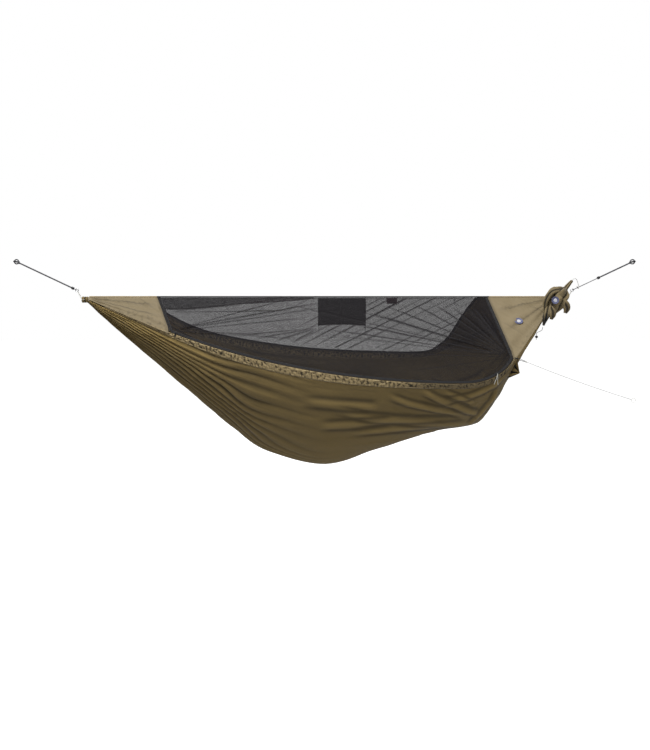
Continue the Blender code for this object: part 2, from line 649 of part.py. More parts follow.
def make_tie_outs():
    """A webbing loop at the near foot corner and at the far one, and the near one's guyline."""
    corner = offset([near_hem[-2], near_hem[-1], foot_tip], BED_EDGE + 0.0012)[1]
    near = on_canopy(-1, corner.x, corner.y, 0.001) + TIE_DIRECTION * TIE_REACH
    line = (GUY_END - near).normalized()
    up = (UP_Z - line * line.z).normalized()
    ring("near_tie_loop", 0.0085, 0.0017, frame_along(near, up, TIE_DIRECTION), "black_tape")
    corner = offset([far_hem[-2], far_hem[-1], foot_tip], BED_EDGE + 0.0012)[1]
    far = on_canopy(1, corner.x, corner.y, 0.001) + FAR_TIE_DIRECTION * TIE_REACH
    ring("far_tie_loop", 0.0085, 0.0017, frame_along(far, UP_Z, FAR_TIE_DIRECTION), "black_tape")
    # Elastic loop through the near webbing loop, then the knot, the line and its end loop
    pivot = near + line * 0.0045
    half_gap, reach = 0.0040, 0.048
    bend = [pivot + line * (0.0022 - 0.0022 * math.sin(math.pi * i / 6))
            + up * half_gap * math.cos(math.pi * i / 6) for i in range(7)]
    upper = [pivot + line * d + up * w for d, w in
             ((reach, 0.0019), (0.036, 0.0024), (0.024, 0.0032), (0.012, half_gap))]
    lower = [pivot + line * d - up * w for d, w in
             ((0.012, half_gap), (0.024, 0.0032), (0.036, 0.0024), (reach, 0.0019))]
    cord("guyline_elastic", upper + bend + lower, 0.0014, "black_cord")
    knot_at = reach + GAP + 0.0045
    turned("guyline_knot", [(0, -0.0045), (0.0026, -0.0036), (0.0042, 0), (0.0026, 0.0036),
                            (0, 0.0045)], frame_along(pivot + line * knot_at, line), "white_cord", 10)
    first = pivot + line * (knot_at + 0.0045 + GAP)
    span = GUY_END - first
    steps = 36
    sag = 0.006
    route = [first + span * (i / steps) - up * sag * 4 * (i / steps) * (1 - i / steps)
             for i in range(steps + 1)]
    cord("guyline_cord", route, 0.0011, "white_cord")
    loop_radius = 0.010
    ring("guyline_end_loop", loop_radius, 0.0011,
         frame_along(GUY_END + line * (loop_radius + 0.0011 + GAP), UP_Y, up),
         "white_cord", steps=16, sides=6)


def make_trim():
    """A round rubber patch on the near foot panel, and the sewn ear at the foot corner."""
    out = FABRIC_THICK / 4 + 0.0009
    centre = on_canopy(-1, *PATCH_AT, out)
    normal = on_canopy(-1, 0, 0, 1) - on_canopy(-1, 0, 0)
    rod("panel_patch", PATCH_RADIUS, 0.0010, frame_along(centre, normal, Vector((1, 0, 0))),
        "patch_rubber", steps=24, chamfer=0.0003)
    root = bed_point(EAR_STATION, EAR_TURN)
    across = (bed_point(EAR_STATION, EAR_TURN + 0.1)
              - bed_point(EAR_STATION, EAR_TURN - 0.1)).normalized()
    along = (bed_point(EAR_STATION + 0.25, EAR_TURN)
             - bed_point(EAR_STATION - 0.25, EAR_TURN)).normalized()
    normal = along.cross(across).normalized()
    normal = normal if normal.x > 0 else -normal
    base = root + normal * 0.0022
    outline = [base - across * 0.018, base + across * 0.020, base + normal * 0.034 + across * 0.030]
    bm = bmesh.new()
    face = bm.faces.new([bm.verts.new(p) for p in outline])
    slab(bm, [face], 0.002, face_normal(outline))
    add("corner_ear", bm, "coyote_fabric")


def face_normal(points):
    """Unit normal of the plane through three points."""
    a, b, c = points
    return (b - a).cross(c - a).normalized()


# Stuff sack tied to the foot suspension

def blob(name, centre, size, tilt):
    """A guide ellipsoid, tilted about Y, for joining into a bigger soft shape."""
    bm = bmesh.new()
    bmesh.ops.create_uvsphere(bm, u_segments=14, v_segments=9, radius=1)
    bmesh.ops.scale(bm, vec=size, verts=bm.verts)
    bmesh.ops.rotate(bm, cent=(0, 0, 0), matrix=Matrix.Rotation(tilt, 3, "Y"), verts=bm.verts)
    bmesh.ops.translate(bm, vec=centre, verts=bm.verts)
    return add(name, bm, "coyote_fabric", smooth=True)


def make_sack():
    """The bunched stuff sack, its lower lobe and twisted neck in one body, with cords and lock."""
    sack = blob("stuff_sack", SACK_CENTRE, (0.070, 0.042, 0.073), 0.15)
    lobe = blob("sack_lobe", SACK_CENTRE + Vector((-0.050, -0.038, -0.072)),
                (0.020, 0.020, 0.060), 0.30)
    neck_foot = SACK_CENTRE + Vector((0.036, 0.012, 0.048))
    neck_tip = Vector((1.386, -0.040, RIDGE_Z + 0.086))
    reach = (neck_tip - neck_foot).length
    neck = turned("sack_neck", [(0, 0), (0.017, 0), (0.013, reach * 0.45), (0.014, reach * 0.7),
                                (0.009, reach), (0, reach)],
                  frame_along(neck_foot, neck_tip - neck_foot), "coyote_fabric", 12)
    join(sack, lobe)
    join(sack, neck)
    patch = SACK_CENTRE + Vector((-0.012, -0.0435, 0.012))
    rod("sack_patch", PATCH_RADIUS * 0.9, 0.0010, frame_along(patch, Vector((0.03, -1, 0.05)),
        Vector((1, 0, 0))), "patch_rubber", steps=24, chamfer=0.0003)
    # Neck cord: out of the tip, curling over to a hitch round the sling's strands
    line = (Vector((HANG_HALF, 0, 0)) - Vector((RING_X, 0, RIDGE_Z + RING_LIFT))).normalized()
    hitch = Vector((RING_X, 0, RIDGE_Z + RING_LIFT)) + line * 0.036
    ring("sack_hitch", 0.0078, 0.0013, frame_along(hitch, line), "white_cord")
    start = neck_tip + (neck_tip - neck_foot).normalized() * (GAP + 0.0004)
    route = [start, start + Vector((0.010, 0.003, 0.012)), start + Vector((0.026, 0.010, 0.012)),
             start + Vector((0.036, 0.018, -0.002)), hitch + Vector((0.003, -0.0115, 0.006))]
    cord("sack_neck_cord", smooth([tuple(p) for p in route], 5), 0.0013, "white_cord")
    # Drawcord from the lobe down through its lock
    top = SACK_CENTRE + Vector((-0.0715, -0.040, -0.1318))
    low = LOCK_CENTRE + Vector((0, 0.004, -0.016))
    route = [top, top + Vector((-0.006, -0.001, -0.018)), LOCK_CENTRE + Vector((0.003, 0.003, 0.022)),
             LOCK_CENTRE + Vector((0, 0.004, 0.008)), LOCK_CENTRE + Vector((0, 0.004, 0)), low]
    cord("sack_drawcord", smooth([tuple(p) for p in route], 4), 0.0013, "black_cord")
    make_cord_lock()


def make_cord_lock():
    """Spring cord lock: a barrel with a cross hole for the cord and a button in its near end."""
    toward = Vector((0, -1, 0))
    barrel = turned("cord_lock_barrel",
                    [(0, -0.009), (0.0055, -0.009), (0.0065, -0.007), (0.0065, 0.009),
                     (0.0049, 0.009), (0.0049, 0.000), (0, 0.000)],
                    frame_along(LOCK_CENTRE, toward, UP_Z), "black_plastic", 16)
    bm = bmesh.new()
    bmesh.ops.create_cone(bm, cap_ends=True, segments=12, radius1=0.0019, radius2=0.0019, depth=0.03)
    hole = add("cord_hole", bm, "black_plastic",
               Matrix.Translation(LOCK_CENTRE + Vector((0, 0.004, 0))))
    join(barrel, hole, "DIFFERENCE")
    rod("cord_lock_button", 0.0045, 0.009, frame_along(LOCK_CENTRE + toward * 0.0082, toward,
        UP_Z), "black_plastic", 14, 0.0006)


make_bed()
make_ridge()
make_canopy()
make_zip()
make_suspension("head", -1, HEAD_STOPPER)
make_suspension("foot", 1, FOOT_STOPPER)
make_organizer()
make_ridge_items()
make_tie_outs()
make_trim()
make_sack()
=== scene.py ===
import math
import random

import bmesh
import bpy
from mathutils import Matrix, Vector, noise


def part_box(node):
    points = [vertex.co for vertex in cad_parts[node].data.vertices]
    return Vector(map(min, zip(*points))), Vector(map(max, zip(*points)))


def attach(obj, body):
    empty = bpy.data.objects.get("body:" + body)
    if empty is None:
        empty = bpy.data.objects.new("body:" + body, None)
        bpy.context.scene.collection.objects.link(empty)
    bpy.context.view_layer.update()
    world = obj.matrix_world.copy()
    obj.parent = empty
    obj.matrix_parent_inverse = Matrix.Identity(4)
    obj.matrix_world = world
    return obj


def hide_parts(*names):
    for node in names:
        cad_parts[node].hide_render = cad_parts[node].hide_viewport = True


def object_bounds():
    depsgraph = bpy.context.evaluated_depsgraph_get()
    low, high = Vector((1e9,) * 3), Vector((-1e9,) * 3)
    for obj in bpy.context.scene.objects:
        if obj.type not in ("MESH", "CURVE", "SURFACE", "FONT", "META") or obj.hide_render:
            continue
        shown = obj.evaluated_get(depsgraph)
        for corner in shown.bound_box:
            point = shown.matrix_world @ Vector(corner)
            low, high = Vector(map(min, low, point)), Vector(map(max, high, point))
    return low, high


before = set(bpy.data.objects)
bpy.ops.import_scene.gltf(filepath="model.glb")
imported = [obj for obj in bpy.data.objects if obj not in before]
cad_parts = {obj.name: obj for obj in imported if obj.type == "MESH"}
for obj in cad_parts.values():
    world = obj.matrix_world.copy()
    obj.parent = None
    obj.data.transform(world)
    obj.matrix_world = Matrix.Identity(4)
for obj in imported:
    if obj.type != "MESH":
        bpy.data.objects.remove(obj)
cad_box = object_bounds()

# Studio. A pale floor and an even white surround, a wide soft lamp high on the left and a weaker
# one on the right, and a camera level with the net.
seam_low, seam_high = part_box("ridge_seam")
RIDGE_Z = (seam_low[2] + seam_high[2]) / 2
VIEW_DISTANCE = 5.5
VIEW_TILT = math.radians(4)
VIEW_DROP = 0.444              # the aim point below the ridge seam
SCENE = bpy.context.scene


def lamp(name, place, aim, size, power):
    """A square area lamp at place, turned to aim."""
    data = bpy.data.lights.new(name, "AREA")
    data.size = size
    data.energy = power
    light = bpy.data.objects.new(name, data)
    light.location = place
    light.rotation_euler = (Vector(aim) - Vector(place)).to_track_quat("-Z", "Y").to_euler()
    SCENE.collection.objects.link(light)


lamp("key_lamp", (-1.2, -2.7, 4.4), (-0.1, 0, -0.5), 2.4, 330)
lamp("fill_lamp", (3.8, -4.2, 2.4), (0.2, 0, -0.5), 3.0, 45)
lamp("back_lamp", (0.8, 4.4, 2.8), (0, 0, -0.5), 3.0, 120)

world = bpy.data.worlds.new("surround")
world.use_nodes = True
SCENE.world = world
sky = world.node_tree.nodes["Background"]
sky.inputs["Color"].default_value = (1, 1, 1, 1)
seen = world.node_tree.nodes.new("ShaderNodeLightPath")
level = world.node_tree.nodes.new("ShaderNodeMapRange")
level.inputs["To Min"].default_value = 0.20
level.inputs["To Max"].default_value = 1.0
world.node_tree.links.new(seen.outputs["Is Camera Ray"], level.inputs["Value"])
world.node_tree.links.new(level.outputs["Result"], sky.inputs["Strength"])
SCENE.view_settings.view_transform = "Standard"

bm = bmesh.new()
bmesh.ops.create_grid(bm, x_segments=1, y_segments=1, size=30)
bmesh.ops.translate(bm, vec=(0, 0, cad_box[0][2] - 0.35), verts=bm.verts)
floor_mesh = bpy.data.meshes.new("floor")
bm.to_mesh(floor_mesh)
bm.free()
floor = bpy.data.objects.new("floor", floor_mesh)
SCENE.collection.objects.link(floor)
paper = bpy.data.materials.new("white_paper")
paper.use_nodes = True
paper.node_tree.nodes["Principled BSDF"].inputs["Base Color"].default_value = (0.50, 0.50, 0.50, 1)
paper.node_tree.nodes["Principled BSDF"].inputs["Roughness"].default_value = 0.9
paper.node_tree.nodes["Principled BSDF"].inputs["Emission Color"].default_value = (1, 1, 1, 1)
seen = paper.node_tree.nodes.new("ShaderNodeLightPath")
level = paper.node_tree.nodes.new("ShaderNodeMapRange")
level.inputs["To Min"].default_value = 0.0
level.inputs["To Max"].default_value = 1.0
paper.node_tree.links.new(seen.outputs["Is Camera Ray"], level.inputs["Value"])
paper.node_tree.links.new(level.outputs["Result"],
                          paper.node_tree.nodes["Principled BSDF"].inputs["Emission Strength"])
floor_mesh.materials.append(paper)

lens = bpy.data.cameras.new("camera")
lens.sensor_fit = "HORIZONTAL"
lens.sensor_width = 36
lens.lens = 53.59
camera = bpy.data.objects.new("camera", lens)
camera.location = (0.0028, -VIEW_DISTANCE * math.cos(VIEW_TILT),
                   RIDGE_Z - VIEW_DROP + VIEW_DISTANCE * math.sin(VIEW_TILT))
camera.rotation_euler = (math.pi / 2 - VIEW_TILT, 0, 0)
SCENE.collection.objects.link(camera)
SCENE.camera = camera

# Rope slings. Grey hollow-braid rope of 8 mm eye-spliced round each toggle; its thin core leaves
# the splice as two strands that pass through an alloy ring and come back. A black stopper slides
# on the splice, and a white loop ties the ring to the gathered cloth.
HANG_HALF = 1.736
RING_X = 1.398
RING_LIFT = 0.036
HEAD_END = -1.335
FOOT_END = 1.300
GATHER_DROP = 0.017
UP_Y = Vector((0, 1, 0))
UP_Z = Vector((0, 0, 1))


def node_math(tree, operation, a, b=0.0, clamp=False):
    """One Math node; a and b are sockets or numbers."""
    node = tree.nodes.new("ShaderNodeMath")
    node.operation = operation
    node.use_clamp = clamp
    for socket, value in zip(node.inputs, (a, b)):
        if isinstance(value, bpy.types.NodeSocket):
            tree.links.new(value, socket)
        else:
            socket.default_value = value
    return node.outputs[0]


def shader_group(name, inputs, outputs):
    """An empty shader node group with its named sockets."""
    tree = bpy.data.node_groups.new(name, "ShaderNodeTree")
    kinds = {"colour": "NodeSocketColor", "value": "NodeSocketFloat", "vector": "NodeSocketVector"}
    for label, kind in inputs:
        tree.interface.new_socket(label, in_out="INPUT", socket_type=kinds[kind])
    for label, kind in outputs:
        tree.interface.new_socket(label, in_out="OUTPUT", socket_type=kinds[kind])
    return tree, tree.nodes.new("NodeGroupInput").outputs, tree.nodes.new("NodeGroupOutput").inputs


def tinted(tree, colour, factor):
    """A colour socket scaled by a value socket."""
    scale = tree.nodes.new("ShaderNodeVectorMath")
    scale.operation = "SCALE"
    tree.links.new(colour, scale.inputs[0])
    tree.links.new(factor, scale.inputs["Scale"])
    return scale.outputs[0]


# Braid: strands that cross at an angle round a cord; the UV map runs in metres along and round it
braid, given, made = shader_group(
    "braid", [("Colour", "colour"), ("Cloth", "vector"), ("Plait", "value"), ("Contrast", "value")],
    [("Colour", "colour"), ("Height", "value")])
split = braid.nodes.new("ShaderNodeSeparateXYZ")
braid.links.new(given["Cloth"], split.inputs[0])
turns_per_metre = node_math(braid, "DIVIDE", math.tau, given["Plait"])
along = node_math(braid, "MULTIPLY", split.outputs["X"], turns_per_metre)
round_it = node_math(braid, "MULTIPLY", split.outputs["Y"], turns_per_metre)
rising = node_math(braid, "SINE", node_math(braid, "ADD", along, round_it))
falling = node_math(braid, "SINE", node_math(braid, "SUBTRACT", along, round_it))
plait = node_math(braid, "MAXIMUM", rising, falling)
braid.links.new(plait, made["Height"])
shade = node_math(braid, "ADD", 1.0, node_math(braid, "MULTIPLY", plait, given["Contrast"]))
braid.links.new(tinted(braid, given["Colour"], shade), made["Colour"])


def cord_finish(name, colour, plait, contrast, roughness=0.75):
    """Braided cord: the braid group feeds the colour and a fine bump."""
    material = bpy.data.materials.new(name)
    material.use_nodes = True
    tree = material.node_tree
    shader = tree.nodes["Principled BSDF"]
    shader.inputs["Roughness"].default_value = roughness
    shader.inputs["Specular IOR Level"].default_value = 0.3
    uv = tree.nodes.new("ShaderNodeUVMap")
    uv.uv_map = "UVMap"
    strands = tree.nodes.new("ShaderNodeGroup")
    strands.node_tree = braid
    strands.inputs["Colour"].default_value = (*colour, 1)
    strands.inputs["Plait"].default_value = plait
    strands.inputs["Contrast"].default_value = contrast
    tree.links.new(uv.outputs["UV"], strands.inputs["Cloth"])
    tree.links.new(strands.outputs["Colour"], shader.inputs["Base Color"])
    bump = tree.nodes.new("ShaderNodeBump")
    bump.inputs["Distance"].default_value = 0.0003
    bump.inputs["Strength"].default_value = 0.6
    tree.links.new(strands.outputs["Height"], bump.inputs["Height"])
    tree.links.new(bump.outputs["Normal"], shader.inputs["Normal"])
    return material


def catmull(rows, at):
    """Value of a smooth curve through rows, tuples of numbers, at a fractional row index."""
    i = min(max(int(at), 0), len(rows) - 2)
    f = at - i
    a, b, c, d = (rows[min(max(j, 0), len(rows) - 1)] for j in (i - 1, i, i + 1, i + 2))
    weights = (-f + 2 * f * f - f ** 3, 2 - 5 * f * f + 3 * f ** 3,
               f + 4 * f * f - 3 * f ** 3, -f * f + f ** 3)
    return tuple(sum(w * v for w, v in zip(weights, column)) / 2 for column in zip(a, b, c, d))


def smooth(rows, steps):
    """The curve through rows with a number of steps between neighbours."""
    rows = [tuple(row) for row in rows]
    count = (len(rows) - 1) * steps
    return [Vector(catmull(rows, i / steps)) for i in range(count + 1)]


def path_length(path):
    """Length of a list of points."""
    return sum((b - a).length for a, b in zip(path, path[1:]))


def lay(columns, rows, place, cut):
    """A grid bmesh whose points are put by place(across, down); its UV map is in metres of cut."""
    bm = bmesh.new()
    uv = bm.loops.layers.uv.new("UVMap")
    # each point's fold value: painted shade in the cloth finishes (a painted highlight where it is below
    # zero), extra cover in the net
    fold = bm.verts.layers.float.new("fold")
    bmesh.ops.create_grid(bm, x_segments=columns, y_segments=rows, size=1)
    spots = {v: ((v.co.x + 1) / 2, (v.co.y + 1) / 2) for v in bm.verts}
    for face in bm.faces:
        for loop in face.loops:
            across, down = spots[loop.vert]
            loop[uv].uv = (across * cut[0], down * cut[1])
    for vert, (across, down) in spots.items():
        vert.co, vert[fold] = place(across, down)
    return bm


def tube(path, radius, sides=10, section=None):
    """A closed round tube along path; radius is a number or a function of the share of length."""
    total = path_length(path)
    frames = []
    side = None
    run = 0.0
    for i, point in enumerate(path):
        ahead = (path[min(i + 1, len(path) - 1)] - path[max(i - 1, 0)]).normalized()
        if side is None:
            side = ahead.orthogonal().normalized()
        side = (side - ahead * side.dot(ahead)).normalized()
        run += (point - path[i - 1]).length if i else 0
        frames.append((point, side, ahead.cross(side), run / total))
    girth = math.tau * (radius if not callable(radius) else radius(0.5, 0.0))

    def place(across, down):
        point, one, two, share = frames[round(across * (len(path) - 1))]
        turn = math.tau * down
        wide = radius(share, turn) if callable(radius) else radius
        return point + (one * math.cos(turn) + two * math.sin(turn)) * wide, 0.0

    bm = lay(len(path) - 1, sides, place, (total, girth))
    bmesh.ops.remove_doubles(bm, verts=bm.verts, dist=1e-6)
    bmesh.ops.holes_fill(bm, edges=[e for e in bm.edges if e.is_boundary], sides=0)
    bmesh.ops.recalc_face_normals(bm, faces=bm.faces)
    return bm


def turned(profile, origin, direction, steps=32):
    """A turned solid about direction, from (radius, height) points about origin."""
    bm = bmesh.new()
    verts = [bm.verts.new((r, 0, h)) for r, h in profile]
    edges = [bm.edges.new(pair) for pair in zip(verts, verts[1:])]
    if profile[0][0] > 0:
        edges.append(bm.edges.new((verts[-1], verts[0])))
    bmesh.ops.spin(bm, geom=verts + edges, cent=(0, 0, 0), axis=(0, 0, 1), angle=math.tau,
                   steps=steps, use_merge=True)
    bmesh.ops.remove_doubles(bm, verts=bm.verts, dist=1e-6)
    turn = Vector(direction).to_track_quat("Z", "Y").to_matrix().to_4x4()
    bmesh.ops.transform(bm, matrix=Matrix.Translation(origin) @ turn, verts=bm.verts)
    bmesh.ops.recalc_face_normals(bm, faces=bm.faces)
    return bm


def make(name, bm, material, body, slot, *nodes):
    """Finish a bmesh as a smooth piece that rides on a body and stands for CAD nodes."""
    mesh = bpy.data.meshes.new(name)
    bm.to_mesh(mesh)
    bm.free()
    mesh.shade_smooth()
    mesh.set_sharp_from_angle(angle=math.radians(50))
    mesh.materials.append(material)
    piece = bpy.data.objects.new(name, mesh)
    SCENE.collection.objects.link(piece)
    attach(piece, body)
    if nodes:
        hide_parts(*nodes)
    return piece


def make_cord(name, path, radius, material, body, slot, nodes,
              sides=10):
    """A braided cord along path."""
    piece = make(name, tube(path, radius, sides), material, body, slot, *nodes)
    return piece


grey_braid = cord_finish("grey_braid", (0.075, 0.075, 0.082), 0.006, 0.45)
fine_grey_braid = cord_finish("fine_grey_braid", (0.13, 0.13, 0.14), 0.003, 0.4)
white_braid = cord_finish("white_braid", (0.66, 0.65, 0.60), 0.0022, 0.12)
pale_braid = cord_finish("pale_braid", (0.30, 0.30, 0.29), 0.0022, 0.12)
black_braid = cord_finish("black_braid", (0.016, 0.016, 0.018), 0.0022, 0.4)

EYE_RADIUS = 0.012
EYE_TUBE = 0.0034
ROPE_RADIUS = 0.004
STRAND_RADIUS = 0.002
STOPPER_HALF = 0.007


def ring_bend(link, line, half_gap, reach):
    """A cord's bend through the linking ring, from its +Y side to its -Y side."""
    turns = [math.pi * i / 10 for i in range(1, 10)]
    return [link + line * (0.0062 - reach * math.sin(t)) + UP_Y * half_gap * math.cos(t)
            for t in turns]


def solid_finish(name, colour, roughness, metallic=0.0, grain=400.0, depth=0.00004):
    """Moulded plastic or metal: slight clouding of the gloss and a fine surface grain."""
    material = bpy.data.materials.new(name)
    material.use_nodes = True
    tree = material.node_tree
    shader = tree.nodes["Principled BSDF"]
    shader.inputs["Metallic"].default_value = metallic
    place = tree.nodes.new("ShaderNodeTexCoord")
    cloud = tree.nodes.new("ShaderNodeTexNoise")
    cloud.inputs["Scale"].default_value = grain
    cloud.inputs["Detail"].default_value = 4
    tree.links.new(place.outputs["Object"], cloud.inputs["Vector"])
    gloss = tree.nodes.new("ShaderNodeMapRange")
    gloss.inputs["To Min"].default_value = roughness - 0.1
    gloss.inputs["To Max"].default_value = roughness + 0.12
    tree.links.new(cloud.outputs["Fac"], gloss.inputs["Value"])
    tree.links.new(gloss.outputs["Result"], shader.inputs["Roughness"])
    tone = tree.nodes.new("ShaderNodeMapRange")
    tone.inputs["To Min"].default_value = 0.8
    tone.inputs["To Max"].default_value = 1.2
    tree.links.new(cloud.outputs["Fac"], tone.inputs["Value"])
    paint = tree.nodes.new("ShaderNodeRGB")
    paint.outputs[0].default_value = (*colour, 1)
    tree.links.new(tinted(tree, paint.outputs[0], tone.outputs["Result"]),
                   shader.inputs["Base Color"])
    bump = tree.nodes.new("ShaderNodeBump")
    bump.inputs["Distance"].default_value = depth
    tree.links.new(cloud.outputs["Fac"], bump.inputs["Height"])
    tree.links.new(bump.outputs["Normal"], shader.inputs["Normal"])
    return material


alloy = solid_finish("satin_alloy", (0.70, 0.71, 0.73), 0.32, 1.0)
dark_alloy = solid_finish("dark_anodised", (0.05, 0.05, 0.055), 0.4, 0.8)
black_moulding = solid_finish("black_moulding", (0.018, 0.018, 0.02), 0.42, grain=900.0)


def round_profile(major, minor, sides=12):
    """Section of a ring, for turning."""
    return [(major + minor * math.cos(math.tau * i / sides), minor * math.sin(math.tau * i / sides))
            for i in range(sides)]


def make_sling(end, sign, stopper_at):
    """Everything between one gather and its toggle."""
    toggle = Vector((sign * HANG_HALF, 0, 0))
    link = Vector((sign * RING_X, 0, RIDGE_Z + RING_LIFT))
    run = toggle - link
    line = run.normalized()
    half = 0.045
    bead = [(0, -half), (0.0038, -half), (0.005, -half + 0.0012), (0.005, -0.016), (0.0044, -0.013),
            (0.0044, 0.013), (0.005, 0.016), (0.005, half - 0.0012), (0.0038, half), (0, half)]
    make("toggle_bar_" + end, turned(bead, toggle, UP_Y), dark_alloy, "anchors", "dark_metal",
         "toggle_" + end)
    # One rope: from the splice's foot to the eye, round the toggle and back into its own throat
    foot = stopper_at - STOPPER_HALF + 0.0015
    throat = run.length - EYE_RADIUS - 0.009
    straight = [link + line * (foot + (throat - foot) * i / 24) for i in range(25)]
    up = UP_Y.cross(line).normalized()
    opening = math.radians(28)
    eye = [toggle - (line * math.cos(t) + up * math.sin(t)) * EYE_RADIUS
           for t in (opening + (math.tau - 2 * opening) * i / 28 for i in range(29))]
    path = straight + eye + [link + line * (throat + 0.001)]
    splice = 1 - (path_length(eye) + 0.02) / path_length(path)

    def rope(share, turn):
        thick = ROPE_RADIUS if share < splice else EYE_TUBE
        return thick * (0.55 + 0.45 * min(1, share / 0.02))

    rope_piece = make("sling_" + end, tube(path, rope, 16), grey_braid, "hammock", "grey_rope",
                      "sling_rope_" + end)
    inner, outer, half = ROPE_RADIUS + 0.0004, 0.0082, STOPPER_HALF
    collar = [(inner, -half + 0.001), (inner + 0.0008, -half), (outer - 0.0016, -half),
              (outer, -half + 0.0018), (outer - 0.0008, 0), (outer, half - 0.0018),
              (outer - 0.0016, half), (inner + 0.0008, half), (inner, half - 0.001)]
    make("stopper_bead_" + end, turned(collar, link + line * stopper_at, line), black_moulding,
         "stopper_" + end, "black_plastic", "sling_stopper_" + end)
    foot = stopper_at - STOPPER_HALF + 0.0011
    narrow = STRAND_RADIUS + 0.00015
    sides = []
    for turn in (1, -1):
        spread = [link + line * 0.0115 + UP_Y * turn * 0.0045,
                  link + line * 0.0155 + UP_Y * turn * 0.0032]
        tail = [link + line * (0.0175 + (foot - 0.0175) * i / 6) + UP_Y * turn * narrow
                for i in range(7)]
        sides.append(spread + tail)
    path = list(reversed(sides[0])) + ring_bend(link, line, 0.0048, 0.0030) + sides[1]
    if stopper_at > 0.05:
        path = smooth(path, 3)
    make_cord("sling_core_" + end, path, STRAND_RADIUS, fine_grey_braid, "hammock", "grey_rope",
              ["sling_strands_" + end])
    make("link_" + end, turned(round_profile(0.008, 0.0021), link, UP_Y, 40), alloy, "hammock",
         "aluminium", "linking_ring_" + end)
    # White loop from the ring to the binding round the gathered cloth
    start = HEAD_END if sign < 0 else FOOT_END
    length = 0.034 if sign < 0 else 0.068
    away = Vector((sign, 0, 0))
    axis = Vector((start, 0, RIDGE_Z - GATHER_DROP)) + away * 0.0015
    waist = length - 0.019
    side_off = 0.0212
    past = axis + away * (length + 0.005) + UP_Z * 0.012
    neck = link - (link - past).normalized() * 0.0125
    half_loop = [axis + away * (waist + 0.001) + UP_Y * side_off,
                 axis + away * (length - 0.004) + UP_Y * side_off,
                 past + UP_Y * 0.013, neck + UP_Y * 0.0046]
    half_loop = smooth(half_loop, 6)
    mirror = [Vector((p.x, -p.y, p.z)) for p in reversed(half_loop)]
    bend = ring_bend(link, (neck - link).normalized(), 0.0044, 0.0026)
    make_cord("white_loop_" + end, half_loop + bend + mirror, 0.0013, white_braid, "hammock",
              "white_cord", ["end_loop_" + end])


make_sling("head", -1, 0.026)
make_sling("foot", 1, 0.164)

# Guyline. A black elastic loop is hitched through the webbing loop at the foot corner, and a
# thin off-white line runs from its knot to a small end loop that pegs out.
GUY_END = Vector((1.540, -0.650, -0.718))
GUY_LOOP = 0.010
loop_low, loop_high = (Vector(c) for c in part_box("near_tie_loop"))
tie = (loop_low + loop_high) / 2
pull_line = (GUY_END - tie).normalized()
pull_up = (UP_Z - pull_line * pull_line.z).normalized()
pivot = tie + pull_line * 0.0045
half_gap, reach = 0.0040, 0.048
bend = [pivot + pull_line * (0.0022 - 0.0022 * math.sin(math.pi * i / 10))
        + pull_up * half_gap * math.cos(math.pi * i / 10) for i in range(11)]
legs = ((reach, 0.0019), (0.036, 0.0024), (0.024, 0.0032), (0.012, half_gap))
upper = [pivot + pull_line * d + pull_up * w for d, w in legs]
lower = [pivot + pull_line * d - pull_up * w for d, w in reversed(legs)]
make_cord("elastic_loop", upper + bend + lower, 0.0014, black_braid, "guyline", "black_cord",
          ["guyline_elastic"])
knot_at = reach + 0.0049
knot = make("line_knot", turned([(0, -0.0045), (0.0018, -0.0042), (0.0034, -0.0030),
                                 (0.0042, -0.0012), (0.0036, 0), (0.0042, 0.0012),
                                 (0.0034, 0.0030), (0.0018, 0.0042), (0, 0.0045)],
                                pivot + pull_line * knot_at, pull_line, 16),
            white_braid, "guyline", "white_cord", "guyline_knot")
first = pivot + pull_line * (knot_at + 0.0049)
span = GUY_END - first
sag = 0.006
route = [first + span * (i / 36) - pull_up * sag * 4 * (i / 36) * (1 - i / 36) for i in range(37)]
peg_loop = make("peg_loop",
                turned(round_profile(GUY_LOOP, 0.0011, 10),
                       GUY_END + pull_line * (GUY_LOOP + 0.0015), UP_Y, 28),
                white_braid, "guyline", "white_cord", "guyline_end_loop")
guy = make("guy_line", tube(route, 0.0011, 8), pale_braid, "guyline", "white_cord",
           "guyline_cord")

# Bed. One length of coyote ripstop nylon, gathered at both ends and cut fuller at the foot. It
# hangs in long pleats from the head gather and in slanting folds towards the foot corners.
SLOPE = math.radians(45)
HEAD_CORNER = Vector((-0.840, 0.268))
HEM_MIDDLE = Vector((-0.080, 0.545))
HEM_LOW = Vector((0.730, 0.637))
FOOT_CORNER = Vector((1.002, 0.460))
SEAM_CLEAR = 0.0046
DOOR_HEAD_TOP = Vector((-0.935, SEAM_CLEAR))
DOOR_FOOT_TOP = Vector((0.912, SEAM_CLEAR))
GATHER_DOWN = 0.012
FAR_HEM = ((-0.905, 0.130), (-0.784, 0.226), (-0.616, 0.307), (-0.325, 0.385), (-0.027, 0.433),
           (0.300, 0.455), (0.560, 0.460), (0.644, 0.438))
FAR_FOOT_EDGE = ((0.644, 0.438), (0.724, 0.335), (0.788, 0.156), (0.852, SEAM_CLEAR))
BED_EDGE = 0.0120
STATIONS = (                   # x of the near edge, the far edge and the keel, and its depth
    (-1.335, -1.335, -1.335, 0.036), (-1.100, -1.120, -1.100, 0.240),
    (-0.845, -0.900, -0.800, 0.497), (-0.620, -0.660, -0.510, 0.745),
    (-0.400, -0.420, -0.320, 0.873), (-0.050, -0.050, 0.000, 0.949),
    (0.300, 0.260, 0.290, 0.858), (0.600, 0.500, 0.550, 0.770), (0.820, 0.680, 0.740, 0.728),
    (0.930, 0.790, 0.832, 0.711), (1.002, 0.880, 0.926, 0.560), (1.110, 1.040, 1.068, 0.345),
    (1.215, 1.180, 1.200, 0.155), (1.300, 1.300, 1.300, 0.036))
BED_POWER = 1.4
CASING_TURN = 0.16


